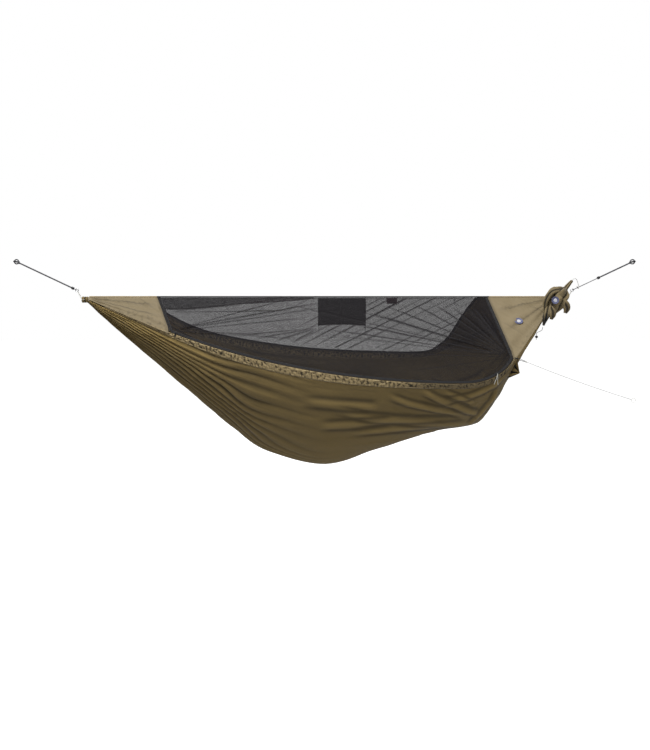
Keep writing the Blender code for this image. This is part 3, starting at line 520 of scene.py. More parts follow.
def on_net(side, x, down, out=0.0):
    """Point on a net plane: down its slope from the ridge seam, out along its outer normal."""
    return Vector((x, side * (down * math.sin(SLOPE) + out * math.cos(SLOPE)),
                   RIDGE_Z - down * math.cos(SLOPE) + out * math.sin(SLOPE)))


def arc_through(a, b, c, steps):
    """Points from a to c on the circle that also passes through b."""
    ab, ac = b - a, c - a
    cross = 2 * (ab.x * ac.y - ab.y * ac.x)
    centre = a + Vector((ac.y * ab.length_squared - ab.y * ac.length_squared,
                         ab.x * ac.length_squared - ac.x * ab.length_squared)) / cross
    first = math.atan2(a.y - centre.y, a.x - centre.x)
    last = math.atan2(c.y - centre.y, c.x - centre.x)
    turns = [first + (last - first) * i / steps for i in range(steps + 1)]
    return centre, [centre + (a - centre).length * Vector((math.cos(t), math.sin(t)))
                    for t in turns]


def offset(path, distance):
    """A plane path moved sideways by distance, to the left of its travel."""
    moved = []
    for i, point in enumerate(path):
        before = (point - path[i - 1]).normalized() if i else None
        after = (path[i + 1] - point).normalized() if i + 1 < len(path) else None
        one, two = before or after, after or before
        left = Vector((-one.y, one.x))
        mitre = (left + Vector((-two.y, two.x))).normalized()
        moved.append(point + mitre * distance / mitre.dot(left))
    return moved


def at_x(path, x):
    """Point of a path that runs towards +X where it passes x."""
    for a, b in zip(path, path[1:]):
        if x <= b.x:
            return a.lerp(b, (x - a.x) / (b.x - a.x))
    return path[-1]


def at_share(path, share):
    """Point at a share of a path's length."""
    left = share * path_length(path)
    for a, b in zip(path, path[1:]):
        step = (b - a).length
        if left <= step:
            return a.lerp(b, left / step)
        left -= step
    return path[-1]


def fade(low, high, value):
    """0 below low, 1 above high and a smooth step between; low may be above high."""
    t = min(1.0, max(0.0, (value - low) / (high - low)))
    return t * t * (3 - 2 * t)


long_centre, long_hem = arc_through(HEAD_CORNER, HEM_MIDDLE, HEM_LOW, 60)
hem_normal = (HEM_LOW - long_centre).normalized()
to_corner = FOOT_CORNER - HEM_LOW
short_radius = -to_corner.length_squared / (2 * to_corner.dot(hem_normal))
short_centre = HEM_LOW - hem_normal * short_radius
low_turn = math.atan2(HEM_LOW.y - short_centre.y, HEM_LOW.x - short_centre.x)
corner_turn = math.atan2(FOOT_CORNER.y - short_centre.y, FOOT_CORNER.x - short_centre.x)
short_hem = [short_centre + abs(short_radius) * Vector((math.cos(t), math.sin(t)))
             for t in (low_turn + (corner_turn - low_turn) * i / 24 for i in range(25))]
near_hem = long_hem + short_hem[1:]
far_hem = smooth(FAR_HEM, 8)
far_edge = smooth(FAR_FOOT_EDGE, 6)
head_tip = Vector((HEAD_END, GATHER_DOWN))
foot_tip = Vector((FOOT_END, GATHER_DOWN))
near_edge = offset([head_tip] + near_hem + [foot_tip], BED_EDGE)
far_edge_line = offset([head_tip] + far_hem + [foot_tip], BED_EDGE)
rims = {}


def bed_rim(station):
    """Near edge, far edge and keel of the bed at a station, as points."""
    key = round(station, 4)
    if key not in rims:
        near_x, far_x, keel_x, depth = catmull(STATIONS, station)
        if 8 <= station <= 10:                 # the folded corner at the foot is nearly sharp
            first = STATIONS[min(9, int(station))]
            second = STATIONS[min(9, int(station)) + 1]
            step = station - min(9, int(station))
            keel_x += 0.85 * (first[2] + (second[2] - first[2]) * step - keel_x)
            depth += 0.85 * (first[3] + (second[3] - first[3]) * step - depth)
        near, far = at_x(near_edge, near_x), at_x(far_edge_line, far_x)
        rims[key] = (on_net(-1, near.x, near.y), on_net(1, far.x, far.y),
                     Vector((keel_x, 0, RIDGE_Z - depth)))
    return rims[key]


def bed_point(station, turn):
    """Point of the unpleated bed: turn 0 at the near edge to pi at the far edge."""
    near, far, keel = bed_rim(station)
    middle = (near + far) / 2
    edge = near if turn < math.pi / 2 else far
    return (middle + (edge - middle) * abs(math.cos(turn))
            + (keel - middle) * max(0.0, math.sin(turn)) ** BED_POWER)


def bed_frame(station, turn):
    """A bed point and the outward normal there."""
    point = bed_point(station, turn)
    along = bed_point(min(13, station + 0.03), turn) - bed_point(max(0, station - 0.03), turn)
    round_it = bed_point(station, min(math.pi, turn + 0.01)) - bed_point(station,
                                                                        max(0, turn - 0.01))
    normal = round_it.cross(along)
    normal = normal.normalized() if normal.length > 1e-9 else Vector((0, 0, -1))
    near, far, keel = bed_rim(station)
    away = point - (near + far) / 2 - (keel - (near + far) / 2) * 0.3
    return point, normal if normal.dot(away) > 0 else -normal


def line_gap(x, z, line):
    """Distance from (x, z) to a polyline and the share of the polyline there."""
    best, share = 9.0, 0.0
    count = len(line) - 1
    for i in range(count):
        ax, az = line[i]
        bx, bz = line[i + 1]
        dx, dz = bx - ax, bz - az
        t = min(1.0, max(0.0, ((x - ax) * dx + (z - az) * dz) / (dx * dx + dz * dz)))
        gap = math.hypot(x - ax - dx * t, z - az - dz * t)
        if gap < best:
            best, share = gap, (i + t) / count
    return best, share


# Long folds on the sides, by x and depth under the ridge: width, height and line
SIDE_FOLDS = (
    (0.016, 0.014, ((0.50, 0.490), (0.60, 0.545), (0.76, 0.612), (0.84, 0.640))),
    (0.015, 0.013, ((0.32, 0.520), (0.44, 0.566), (0.56, 0.596), (0.78, 0.650))),
    (0.020, 0.011, ((0.02, 0.600), (0.25, 0.650), (0.50, 0.672), (0.76, 0.680))),
    (0.018, 0.010, ((0.10, 0.740), (0.36, 0.720), (0.60, 0.700), (0.79, 0.700))),
    (0.013, 0.012, ((0.93, 0.480), (0.89, 0.560), (0.84, 0.640), (0.79, 0.715))),
    (0.014, 0.009, ((0.97, 0.400), (0.90, 0.470), (0.76, 0.530), (0.60, 0.560))),
    (0.022, 0.009, ((-0.15, 0.560), (0.10, 0.580), (0.30, 0.590))),
    (0.020, 0.008, ((-0.05, 0.700), (0.15, 0.690), (0.40, 0.660))),
    (0.013, 0.009, ((0.62, 0.500), (0.70, 0.530), (0.80, 0.575))),
)


def bed_relief(station, turn, point):
    """How far the cloth stands off the plain bed, and its painted shade, 0 to 1: darker deep in pleats and
    folds, less a painted highlight where the cloth faces the light.
    """
    axis = Vector((point.x, 0, RIDGE_Z - GATHER_DROP))
    room = min(1.0, (point - axis).length / 0.10)
    drift = 0.10 * noise.noise(Vector((station * 0.7, turn * 3, 4.2)))
    slip = (0.24 if turn < math.pi / 2 else -0.24) * fade(1.8, 5.2, station) * math.sin(turn)
    comb = abs(math.sin(33 * (turn - slip + drift) + 1.1 * math.sin(2.3 * turn + 1)))
    fine = abs(math.sin(71 * (turn - slip + 0.6 * drift) + 2.0 * math.sin(3.1 * turn)))
    pick = 0.55 + 0.45 * noise.noise(Vector((turn * 9, 0.4, station * 0.15)))
    head = fade(0.16, -0.62, point.x) * room * (0.5 + 0.5 * pick)
    foot = fade(0.86, 1.10, point.x) * room
    lift = 0.0150 * head * (comb - 0.62) + 0.0040 * head * (fine - 0.6)
    comb_foot = abs(math.sin(13 * (turn + drift) + 0.8))
    lift += 0.0085 * foot * (comb_foot - 0.62)
    # painted shade in the valleys of the head pleats and the foot folds
    deep = max(head * (1 - comb) ** 1.3, 0.7 * foot * (1 - comb_foot) ** 2,
               0.4 * head * (1 - fine) ** 3)
    rise = min(turn, math.pi - turn)
    # painted highlight: the upper rows at the head, the foot end and the pleat crests are made lighter
    lit = 1.1 * fade(-0.35, -0.95, point.x) * fade(0.80, 0.25, rise)
    lit += 0.9 * fade(0.98, 1.06, point.x) * fade(0.9, 0.3, rise) + 0.12 * head * comb ** 3
    depth = RIDGE_Z - point.z
    mirrored = 1.0 if point.y < 0 else 0.8
    for width, height, line in SIDE_FOLDS:
        gap, share = line_gap(point.x, depth, line)
        if gap < 4 * width:
            ends = fade(0, 0.22, share) * fade(1, 0.85, share)
            ridge = math.exp(-(gap / width) ** 2)
            lift += height * mirrored * ends * (ridge - 0.25)
            # painted shade under each side fold and a painted highlight on its ridge
            under = math.exp(-((gap - 1.5 * width) / (0.55 * width)) ** 2)
            deep = max(deep, 0.62 * ends * under)
            lit = max(lit, 0.42 * ends * ridge ** 2)
    ripple = noise.noise(Vector((point.x * 3.2, depth * 14, point.y * 3)))
    crumple = noise.noise(Vector((point.x * 9, depth * 30, point.y * 9 + 3)))
    lift += (0.0035 * ripple + 0.0013 * crumple) * room
    return lift, min(1.0, deep) - lit * (1 - min(1.0, deep))


# Cloth: ripstop weave, broad colour drift and painted shade from the Fold input; the UV map runs in metres
# over the cut cloth
cloth, given, made = shader_group(
    "cloth", [("Colour", "colour"), ("Cloth", "vector"), ("Place", "vector"), ("Thread", "value"),
              ("Grid", "value"), ("Fold", "value"), ("Shade", "value"), ("Drift", "value")],
    [("Colour", "colour"), ("Height", "value"), ("Roughness", "value")])
split = cloth.nodes.new("ShaderNodeSeparateXYZ")
cloth.links.new(given["Cloth"], split.inputs[0])
threads = node_math(cloth, "DIVIDE", math.tau, given["Thread"])
warp = node_math(cloth, "SINE", node_math(cloth, "MULTIPLY", split.outputs["X"], threads))
weft = node_math(cloth, "SINE", node_math(cloth, "MULTIPLY", split.outputs["Y"], threads))
weave = node_math(cloth, "MULTIPLY", warp, weft)
lines = []
for axis in ("X", "Y"):
    cell = node_math(cloth, "FRACT", node_math(cloth, "DIVIDE", split.outputs[axis],
                                               given["Grid"]))
    lines.append(node_math(cloth, "LESS_THAN", cell, 0.09))
grid_line = node_math(cloth, "MAXIMUM", *lines)
cloth.links.new(node_math(cloth, "ADD", node_math(cloth, "MULTIPLY", weave, 0.4), grid_line),
                made["Height"])
broad = cloth.nodes.new("ShaderNodeTexNoise")
broad.inputs["Scale"].default_value = 5
broad.inputs["Detail"].default_value = 5
cloth.links.new(given["Place"], broad.inputs["Vector"])
drift = node_math(cloth, "MULTIPLY", node_math(cloth, "SUBTRACT", broad.outputs["Fac"], 0.5),
                  given["Drift"])
# painted shade: Fold times Shade darkens the colour in folds, and a Fold below zero paints a highlight
deep = node_math(cloth, "MULTIPLY", given["Fold"], given["Shade"])
tone = node_math(cloth, "ADD", node_math(cloth, "SUBTRACT", 1.0, deep), drift)
tone = node_math(cloth, "ADD", tone, node_math(cloth, "MULTIPLY", grid_line, 0.06))
tone = node_math(cloth, "ADD", tone, node_math(cloth, "MULTIPLY", weave, 0.05))
cloth.links.new(tinted(cloth, given["Colour"], tone), made["Colour"])
cloth.links.new(node_math(cloth, "ADD", 0.56, node_math(cloth, "MULTIPLY", broad.outputs["Fac"],
                                                        0.2)), made["Roughness"])


def cloth_finish(name, colour, thread=0.0006, grid=0.005, shade=0.6, drift=0.3, sheen=0.15,
                 bump_depth=0.00015):
    """A woven fabric made with the cloth group."""
    material = bpy.data.materials.new(name)
    material.use_nodes = True
    tree = material.node_tree
    shader = tree.nodes["Principled BSDF"]
    shader.inputs["Specular IOR Level"].default_value = 0.35
    shader.inputs["Sheen Weight"].default_value = sheen
    shader.inputs["Sheen Roughness"].default_value = 0.5
    uv = tree.nodes.new("ShaderNodeUVMap")
    uv.uv_map = "UVMap"
    place = tree.nodes.new("ShaderNodeTexCoord")
    # the fold attribute carries each piece's painted shade and painted highlight into the colour
    folds = tree.nodes.new("ShaderNodeAttribute")
    folds.attribute_name = "fold"
    made_cloth = tree.nodes.new("ShaderNodeGroup")
    made_cloth.node_tree = cloth
    for label, value in (("Colour", (*colour, 1)), ("Thread", thread), ("Grid", grid),
                         ("Shade", shade), ("Drift", drift)):
        made_cloth.inputs[label].default_value = value
    tree.links.new(uv.outputs["UV"], made_cloth.inputs["Cloth"])
    tree.links.new(place.outputs["Object"], made_cloth.inputs["Place"])
    tree.links.new(folds.outputs["Fac"], made_cloth.inputs["Fold"])
    tree.links.new(made_cloth.outputs["Colour"], shader.inputs["Base Color"])
    tree.links.new(made_cloth.outputs["Roughness"], shader.inputs["Roughness"])
    bump = tree.nodes.new("ShaderNodeBump")
    bump.inputs["Distance"].default_value = bump_depth
    bump.inputs["Strength"].default_value = 0.5
    tree.links.new(made_cloth.outputs["Height"], bump.inputs["Height"])
    tree.links.new(bump.outputs["Normal"], shader.inputs["Normal"])
    return material


def make_sheet(name, bm, material, body, slot, nodes, wall=0.0006):
    """A cloth piece with its thickness."""
    bmesh.ops.recalc_face_normals(bm, faces=bm.faces)
    piece = make(name, bm, material, body, slot, *nodes)
    thick = piece.modifiers.new("cloth_thickness", "SOLIDIFY")
    thick.thickness = wall
    thick.offset = 0
    return piece


coyote = cloth_finish("coyote_nylon", (0.180, 0.126, 0.043), shade=0.95, drift=0.16,
                      sheen=0.08)
# the casing and the ridge folds are the bed's own nylon, painted lighter: painted light on cloth that turns
# up to the light
coyote_ruche_painted_lit = cloth_finish("coyote_ruche_painted_lit", (0.365, 0.275, 0.136), shade=0.90, drift=0.16)
BED_FLAT = (1.50, 2.90)
BED_START = CASING_TURN
random.seed(7)


def bed_spot(across, down):
    """Place of a point of the bed sheet and its painted shade, less its painted highlight."""
    station = 13 * across
    turn = BED_START + (math.pi - 2 * BED_START) * down
    point, normal = bed_frame(station, turn)
    lift, deep = bed_relief(station, turn, point)
    edge = fade(0, 0.03, down) * fade(1, 0.97, down)
    return point + normal * lift * (0.25 + 0.75 * edge), deep


bed = make_sheet("bed_cloth", lay(236, 182, bed_spot, (2.90, 1.35)), coyote, "hammock",
                 "coyote_fabric", ["bed_head", "bed_seat", "bed_foot"])

# Edge casings. The bed's long edges are folded over shock cord and sewn, so the cloth there is
# ruched into short cross wrinkles, close at the head and looser towards the foot.
for side, start in (("near", 0.0), ("far", math.pi - CASING_TURN)):
    edge_sign = 1 if side == "near" else -1

    def casing_spot(across, down):
        """Place of a point of the casing, from the zip's edge to the seam with the bed."""
        station = 0.5 + 12 * across
        turn = start + CASING_TURN * down
        point, normal = bed_frame(station, turn)
        inner = down if side == "near" else 1 - down
        spread = math.sin(math.pi * min(1, inner * 1.0)) ** 0.6 if 0 < inner < 1 else 0.0
        along = point.x * 1.0
        tight = 0.5 + 0.5 * fade(0.62, 0.30, along) * fade(-0.92, -0.80, along)
        crimp = noise.noise(Vector((along * 95, inner * 2.2, 1.0)))
        crimp += 0.7 * noise.noise(Vector((along * 170, inner * 5, 6.0)))
        cross = noise.noise(Vector((along * 60, inner * 7, 3.0)))
        lift = 0.0062 * tight * spread * (crimp + 0.5 * cross + 0.30)
        seam = 0.0022 * (fade(0.80, 0.90, inner) * fade(1.0, 0.92, inner))
        # painted shade in the crimp valleys and along the seam with the bed; the casing is also painted
        # darker towards the foot and lighter at its foot end
        deep = min(1.0, max(0.0, 0.22 - 1.9 * (crimp + 0.5 * cross)) * tight * spread
                   + 0.55 * fade(0.88, 1.0, inner) + 0.58 * fade(0.30, 0.62, along))
        deep -= 1.1 * fade(0.96, 1.04, along)
        return point + normal * (lift + seam), deep

    make_sheet(side + "_casing", lay(880, 10, casing_spot, (2.9, 0.042)), coyote_ruche_painted_lit, "hammock",
               "casing_fabric", [side + "_edge_casing"])

# Gathers. The cloth's ends are whipped into tight round bunches with black cord.
for end, sign, start, length in (("head", -1, HEAD_END, 0.034), ("foot", 1, FOOT_END, 0.068)):
    away = Vector((sign, 0, 0))
    axis = Vector((start, 0, RIDGE_Z - GATHER_DROP)) + away * 0.0015
    waist = length - 0.019
    bunch_path = [axis + away * length * i / 24 for i in range(25)]

    def bunch(share, turn):
        """Radius of the pleated bunch: drawn in at the whipping, flared past it."""
        nip = 0.0032 * math.exp(-((share * length - waist) / 0.006) ** 2)
        close = fade(1.0, 0.93, share) * 0.004 - 0.004
        return 0.0168 - nip + close + 0.0012 * abs(math.sin(9 * turn + 2 * share)) - 0.0004

    make("bunch_" + end, tube(bunch_path, bunch, 72), coyote, "hammock", "coyote_fabric",
         "gather_" + end)
    hold = axis + away * waist
    wraps = [hold + away * (0.0052 * (i / 96 - 0.5))
             + 0.0164 * Vector((0, math.cos(math.tau * i / 24), math.sin(math.tau * i / 24)))
             for i in range(97)]
    make("whipping_" + end, tube(wraps, 0.00085, 8), black_braid, "hammock", "black_cord",
         "gather_binding_" + end)

# Ridge. The two net planes meet in a taped seam, and a thin structural cord just under it runs
# from gather to gather and sets the sag.
tape = cloth_finish("black_webbing", (0.012, 0.011, 0.012), thread=0.0014, grid=0.0028, shade=0.5,
                    sheen=0.02, bump_depth=0.0003)
seam_path = [Vector((seam_low[0] + (seam_high[0] - seam_low[0]) * i / 200, 0, RIDGE_Z))
             for i in range(201)]


def seam_section(share, turn):
    """The seam is a folded tape: flatter at its sides than on top."""
    return 0.0031 + 0.0003 * math.cos(2 * turn) + 0.0002 * math.sin(900 * share)


net_part = [p for p in seam_path if DOOR_HEAD_TOP.x - 0.02 <= p.x <= DOOR_FOOT_TOP.x + 0.02]
make("ridge_tape", tube(net_part, seam_section, 12), tape, "hammock", "black_tape", "ridge_seam")
for end, part in (("head", [p for p in seam_path if p.x <= net_part[0].x]),
                  ("foot", [p for p in seam_path if p.x >= net_part[-1].x])):
    make("ridge_fold_" + end, tube(part, seam_section, 12), coyote_ruche_painted_lit, "hammock",
         "coyote_fabric")
cord_low, cord_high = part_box("ridgeline_cord")
CORD_Z = (cord_low[2] + cord_high[2]) / 2
ridge_line = [Vector((cord_low[0] + (cord_high[0] - cord_low[0]) * i / 60, 0, CORD_Z))
              for i in range(61)]
make_cord("ridge_line", ridge_line, 0.0015, black_braid, "hammock", "black_cord",
          ["ridgeline_cord"])

# Insect net. Fine black mesh in two planes: the near one is a door on a zip, the far one is sewn
# in. Both hang a little slack, with tight creases that run from the corners where they are pulled.
mesh_group, given, made = shader_group(
    "net_mesh", [("Colour", "colour"), ("Cloth", "vector"), ("Cell", "value"), ("Fold", "value"),
                 ("Cover", "value")],
    [("Colour", "colour"), ("Alpha", "value"), ("Height", "value")])
split = mesh_group.nodes.new("ShaderNodeSeparateXYZ")
mesh_group.links.new(given["Cloth"], split.inputs[0])
per_metre = node_math(mesh_group, "DIVIDE", math.pi, given["Cell"])
strands = []
for axis in ("X", "Y"):
    swing = node_math(mesh_group, "SINE", node_math(mesh_group, "MULTIPLY", split.outputs[axis],
                                                    per_metre))
    strands.append(node_math(mesh_group, "MULTIPLY", swing, swing))
thread = node_math(mesh_group, "MAXIMUM", *strands)
thread = node_math(mesh_group, "MULTIPLY", thread, thread)
mesh_group.links.new(thread, made["Height"])
cover = node_math(mesh_group, "ADD", given["Cover"],
                  node_math(mesh_group, "MULTIPLY", node_math(mesh_group, "SUBTRACT", thread, 0.5),
                            0.3))
cover = node_math(mesh_group, "ADD", cover, node_math(mesh_group, "MULTIPLY", given["Fold"], 0.60),
                  clamp=True)
mesh_group.links.new(cover, made["Alpha"])
tone = node_math(mesh_group, "ADD", 0.8, node_math(mesh_group, "MULTIPLY", thread, 0.4))
mesh_group.links.new(tinted(mesh_group, given["Colour"], tone), made["Colour"])


def net_finish(name, colour, cover):
    """See-through mesh: the net group gives the threads their colour and the holes between."""
    material = bpy.data.materials.new(name)
    material.use_nodes = True
    tree = material.node_tree
    shader = tree.nodes["Principled BSDF"]
    shader.inputs["Roughness"].default_value = 0.7
    shader.inputs["Specular IOR Level"].default_value = 0.3
    uv = tree.nodes.new("ShaderNodeUVMap")
    uv.uv_map = "UVMap"
    folds = tree.nodes.new("ShaderNodeAttribute")
    folds.attribute_name = "fold"
    net = tree.nodes.new("ShaderNodeGroup")
    net.node_tree = mesh_group
    net.inputs["Colour"].default_value = (*colour, 1)
    net.inputs["Cell"].default_value = 0.0013
    net.inputs["Cover"].default_value = cover
    tree.links.new(uv.outputs["UV"], net.inputs["Cloth"])
    tree.links.new(folds.outputs["Fac"], net.inputs["Fold"])
    tree.links.new(net.outputs["Colour"], shader.inputs["Base Color"])
    tree.links.new(net.outputs["Alpha"], shader.inputs["Alpha"])
    return material


black_net = net_finish("black_mesh", (0.010, 0.008, 0.010), 0.38)
NET_EDGE = 0.0089              # net stops this far inside the zip's centre line
door_hem = offset([DOOR_HEAD_TOP] + near_hem + [DOOR_FOOT_TOP], -NET_EDGE)[1:-1]


def pull_creases(point, focus, lines, spread):
    """Creases that fan from a pulled corner: lines are (end x, end down, strength) of each."""
    lift, deep = 0.0, 0.0
    away = point - focus
    reach = away.length
    for x, down, strength in lines:
        run = Vector((x, down)) - focus
        share = away.dot(run) / run.length_squared
        if 0 < share < 1:
            gap = abs(away.x * run.y - away.y * run.x) / run.length
            width = spread * (0.5 + 1.0 * share)
            envelope = fade(0, 0.12, share) * fade(1, 0.72, share) * strength
            lift += envelope * 0.011 * math.exp(-(gap / (1.6 * width)) ** 2)
            deep = max(deep, envelope * math.exp(-(gap / (0.62 * width)) ** 2))
    return lift, deep * min(1, reach / 0.06)


DOOR_CREASES = ((-0.30, 0.030, 0.5), (0.16, 0.100, 0.9), (0.22, 0.110, 0.6), (0.30, 0.050, 0.8),
                (0.46, 0.030, 0.7), (0.60, 0.040, 0.8), (0.70, 0.060, 0.7), (0.10, 0.200, 0.8),
                (-0.05, 0.240, 0.6), (0.00, 0.290, 0.35), (0.82, 0.050, 0.8), (0.77, 0.02, 0.5),
                (0.87, 0.090, 0.6), (0.20, 0.420, 0.4), (0.42, 0.560, 0.3))
HEAD_CREASES = ((-0.20, 0.012, 0.5), (0.02, 0.035, 0.7), (-0.25, 0.110, 0.6), (-0.05, 0.16, 0.45),
                (-0.30, 0.300, 0.5), (-0.10, 0.330, 0.3), (0.10, 0.06, 0.4))


def door_spot(across, down):
    """Place of a point of the door net, with its creases and slack."""
    top = DOOR_HEAD_TOP.lerp(DOOR_FOOT_TOP, 0.004 + 0.992 * across)
    low = at_share(door_hem, across)
    flat = top.lerp(low, down)
    lift, deep = pull_creases(flat, FOOT_CORNER, DOOR_CREASES, 0.0056)
    more, deeper = pull_creases(flat, HEAD_CORNER, HEAD_CREASES, 0.0062)
    lift, deep = lift + more, max(deep, deeper)
    rim = fade(0, 0.05, down) * fade(1, 0.95, down) * fade(0, 0.02, across) * fade(1, 0.98, across)
    slack = 0.5 * noise.noise(Vector((flat.x * 3, flat.y * 5, 1.5)))
    fine = noise.noise(Vector(((flat.x + flat.y) * 7, (flat.x - flat.y) * 40, 2.5)))
    deep = max(deep, 0.06 * fade(0.15, 0.45, fine))
    out = (lift + 0.006 * slack + 0.0008 * fine - 0.004) * rim
    return on_net(-1, flat.x, flat.y, out), deep * rim


door = make_sheet("door_mesh", lay(360, 120, door_spot, (1.9, 0.60)), black_net, "net_door",
                  "insect_net", ["door_net"], wall=0.0004)

FAR_TOP_HEAD = Vector((-0.935, SEAM_CLEAR))
far_low = offset([FAR_TOP_HEAD] + far_hem + far_edge[1:], -0.0020)[1:]
FAR_CREASES = ((-0.30, 0.36, 0.5), (-0.12, 0.40, 0.7), (-0.02, 0.42, 0.6), (0.10, 0.43, 0.8),
               (0.20, 0.44, 0.7), (0.32, 0.44, 0.9), (0.40, 0.44, 0.5))


def far_spot(across, down):
    """Place of a point of the far net: slanting creases from the hem up towards the foot."""
    top = FAR_TOP_HEAD.lerp(Vector((0.848, SEAM_CLEAR)), 0.004 + 0.992 * across)
    low = at_share(far_low, across * 0.995)
    flat = top.lerp(low, down)
    slant = flat.x + 1.35 * flat.y
    wander = noise.noise(Vector((slant * 6, flat.y * 1.2, 7.0)))
    wave = math.sin(math.tau * slant / 0.078 + 3.5 * wander)
    sharp = fade(0.80, 0.99, wave) * fade(0.05, 0.35, flat.x + 0.3) * fade(-0.35, 0.15, wander)
    lift, deep = pull_creases(flat, Vector((-0.04, 0.26)),
                              ((-0.52, 0.32, 0.5), (-0.42, 0.35, 0.6), (-0.30, 0.37, 0.7),
                               (-0.20, 0.39, 0.7)), 0.0058)
    more, deeper = pull_creases(flat, Vector((-0.905, 0.130)),
                                ((-0.20, 0.010, 0.4), (-0.45, 0.060, 0.6), (-0.15, 0.11, 0.5)),
                                0.0062)
    rim = fade(0, 0.05, down) * fade(1, 0.95, down) * fade(0, 0.02, across) * fade(1, 0.98, across)
    slack = noise.noise(Vector((flat.x * 2.5, flat.y * 4, 9.5)))
    out = (lift + more + 0.006 * sharp + 0.004 * slack - 0.003) * rim
    return (on_net(1, flat.x, flat.y, out),
            max(0.8 * sharp, deep, deeper) * rim)


far_mesh = make_sheet("far_mesh", lay(360, 90, far_spot, (1.8, 0.46)), black_net, "hammock",
                      "insect_net", ["far_net"],
                      wall=0.0004)

# Ridge tuck. Along the head half of the far plane the spare net is folded under the ridge seam
# into a second layer, with its fold hanging in a shallow line.
TUCK_EDGE = ((-0.926, 0.095), (-0.815, 0.097), (-0.60, 0.072), (-0.48, 0.056), (-0.30, 0.044),
             (-0.14, 0.028), (-0.06, 0.012))


def tuck_spot(across, down):
    """Place of a point of the folded layer; its last rows roll into the fold."""
    low = Vector(catmull(TUCK_EDGE, across * (len(TUCK_EDGE) - 1)))
    top = Vector((low.x, SEAM_CLEAR))
    flat = top.lerp(low, down)
    wave = noise.noise(Vector((flat.x * 9, flat.y * 6, 3.3)))
    inward = fade(-0.27, -0.40, flat.x)        # the organizer slides along the rest
    return (on_net(1, flat.x, flat.y, -0.0015 - inward * (0.0035 + 0.004 * math.sin(math.pi * down)
                                                           + 0.003 * wave)),
            max(0.20, 0.7 * fade(0.86, 0.93, down)))


make_sheet("net_tuck", lay(160, 16, tuck_spot, (0.9, 0.10)), black_net, "hammock", "insect_net", (),
           wall=0.0005)

# Far binding. The far net's edge is bound into the bed's hem with black tape.
far_border = [FAR_TOP_HEAD] + far_hem + far_edge[1:]


def ribbon(path, inner, outer, side, ripple, columns, out=0.0, rows=4):
    """A woven ribbon that follows a path on a net plane, between two offsets of it."""
    rails = [offset(path, inner), offset(path, outer)]
    for rail in rails:
        for end, inner_one in ((0, 1), (-1, -2)):
            if rail[end].y < 2 * SEAM_CLEAR:
                run = rail[inner_one] - rail[end]
                rail[end] = rail[end] + run * (SEAM_CLEAR - rail[end].y) / run.y
    total = path_length(path)

    def spot(across, down):
        low, high = at_share(rails[0], across), at_share(rails[1], across)
        flat = low.lerp(high, down)
        wave = noise.noise(Vector((across * total * 16, side * 3.0, inner * 900)))
        lift = out + ripple * (wave + 0.25 * math.sin(math.tau * down * 3))
        edge = 0.5 * (fade(0.12, 0.0, down) + fade(0.88, 1.0, down))
        return on_net(side, flat.x, flat.y, lift), edge

    return lay(columns, rows, spot, (total, abs(outer - inner)))


make_sheet("far_binding", ribbon(far_border, -0.0012, 0.0168, 1, 0.0006, 360), tape, "hammock",
           "black_tape", ["far_net_binding"], wall=0.0012)

# Zip. A black coil zip runs from the ridge down the head edge, along the hem and up the foot edge.
# Each half is a woven tape with its coil along the edge; the door's half swings with the door.
near_border = [DOOR_HEAD_TOP] + near_hem + [DOOR_FOOT_TOP]
coil_black = solid_finish("coil_black", (0.02, 0.02, 0.022), 0.35, grain=700.0)
make_sheet("door_tape", ribbon(near_border, -0.0085, -0.0014, -1, 0.0005, 420), tape, "net_door",
           "black_tape", ["door_zip_tape"],
           wall=0.0011)
HEM_JOINT = 0.003
hem = [near_hem[0].lerp(near_hem[1], HEM_JOINT / (near_hem[1] - near_hem[0]).length)]
hem += near_hem[1:-1]
hem.append(near_hem[-1].lerp(near_hem[-2], HEM_JOINT / (near_hem[-2] - near_hem[-1]).length))
for name, path, columns in (("hem", hem, 380), ("head", near_border[:2], 60),
                            ("foot", near_border[-2:], 80)):
    length = path_length(path)
    make_sheet(name + "_tape", ribbon(path, 0.0014, 0.0085, -1, 0.0005, columns), tape, "hammock",
               "black_tape", [name + "_zip_tape"],
               wall=0.0011)


def coil(path, shift):
    """One half of the zip's coil: a ribbed bead along the tape's edge."""
    line = offset(path, shift)
    for end, inner_one in ((0, 1), (-1, -2)):
        if line[end].y < 2 * SEAM_CLEAR:
            run = line[inner_one] - line[end]
            line[end] = line[end] + run * (SEAM_CLEAR + 0.001 - line[end].y) / run.y
    teeth = int(path_length(line) / 0.0042)
    count = teeth * 4
    points = [on_net(-1, *at_share(line, i / count)) for i in range(count + 1)]

    def bead(share, turn):
        """Radius of the bead, full at each tooth."""
        return 0.00062 + 0.00022 * math.cos(math.tau * share * teeth)

    return tube(points, bead, 6)


make("door_coil", coil(near_border, -0.0008), coil_black, "net_door", "black_tape")
make("fixed_coil", coil([near_border[0].lerp(near_border[1], 0.02)] + hem
                        + [near_border[-1].lerp(near_border[-2], 0.01)], 0.0008), coil_black,
     "hammock", "black_tape")

# Sliders and pulls. Two black moulded sliders; the one at the head has a tape tab, the one near
# the foot a doubled off-white cord whose tails hang apart.
for node in ("zip_slider_head", "zip_slider_foot"):
    part_piece = bpy.data.objects[node]
    part_piece.data.materials.clear()
    part_piece.data.materials.append(black_moulding)
tab_low, tab_high = (Vector(c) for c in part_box("zip_pull_head"))
tab_top = Vector(((tab_low.x + tab_high.x) / 2, (tab_low.y + tab_high.y) / 2, tab_high.z))


def tab_spot(across, down):
    """Place of a point of the tape tab: a soft fold at the top and a flare at the end."""
    wide = (0.0028 + 0.0007 * down) * (across - 0.5) * 2
    return (tab_top + Vector((wide * 0.945, wide * -0.328, -0.0238 * down))
            + Vector((-0.328, -0.945, 0)) * 0.0012 * math.sin(2.4 * down),
            0.4 * fade(0.8, 0.95, down))


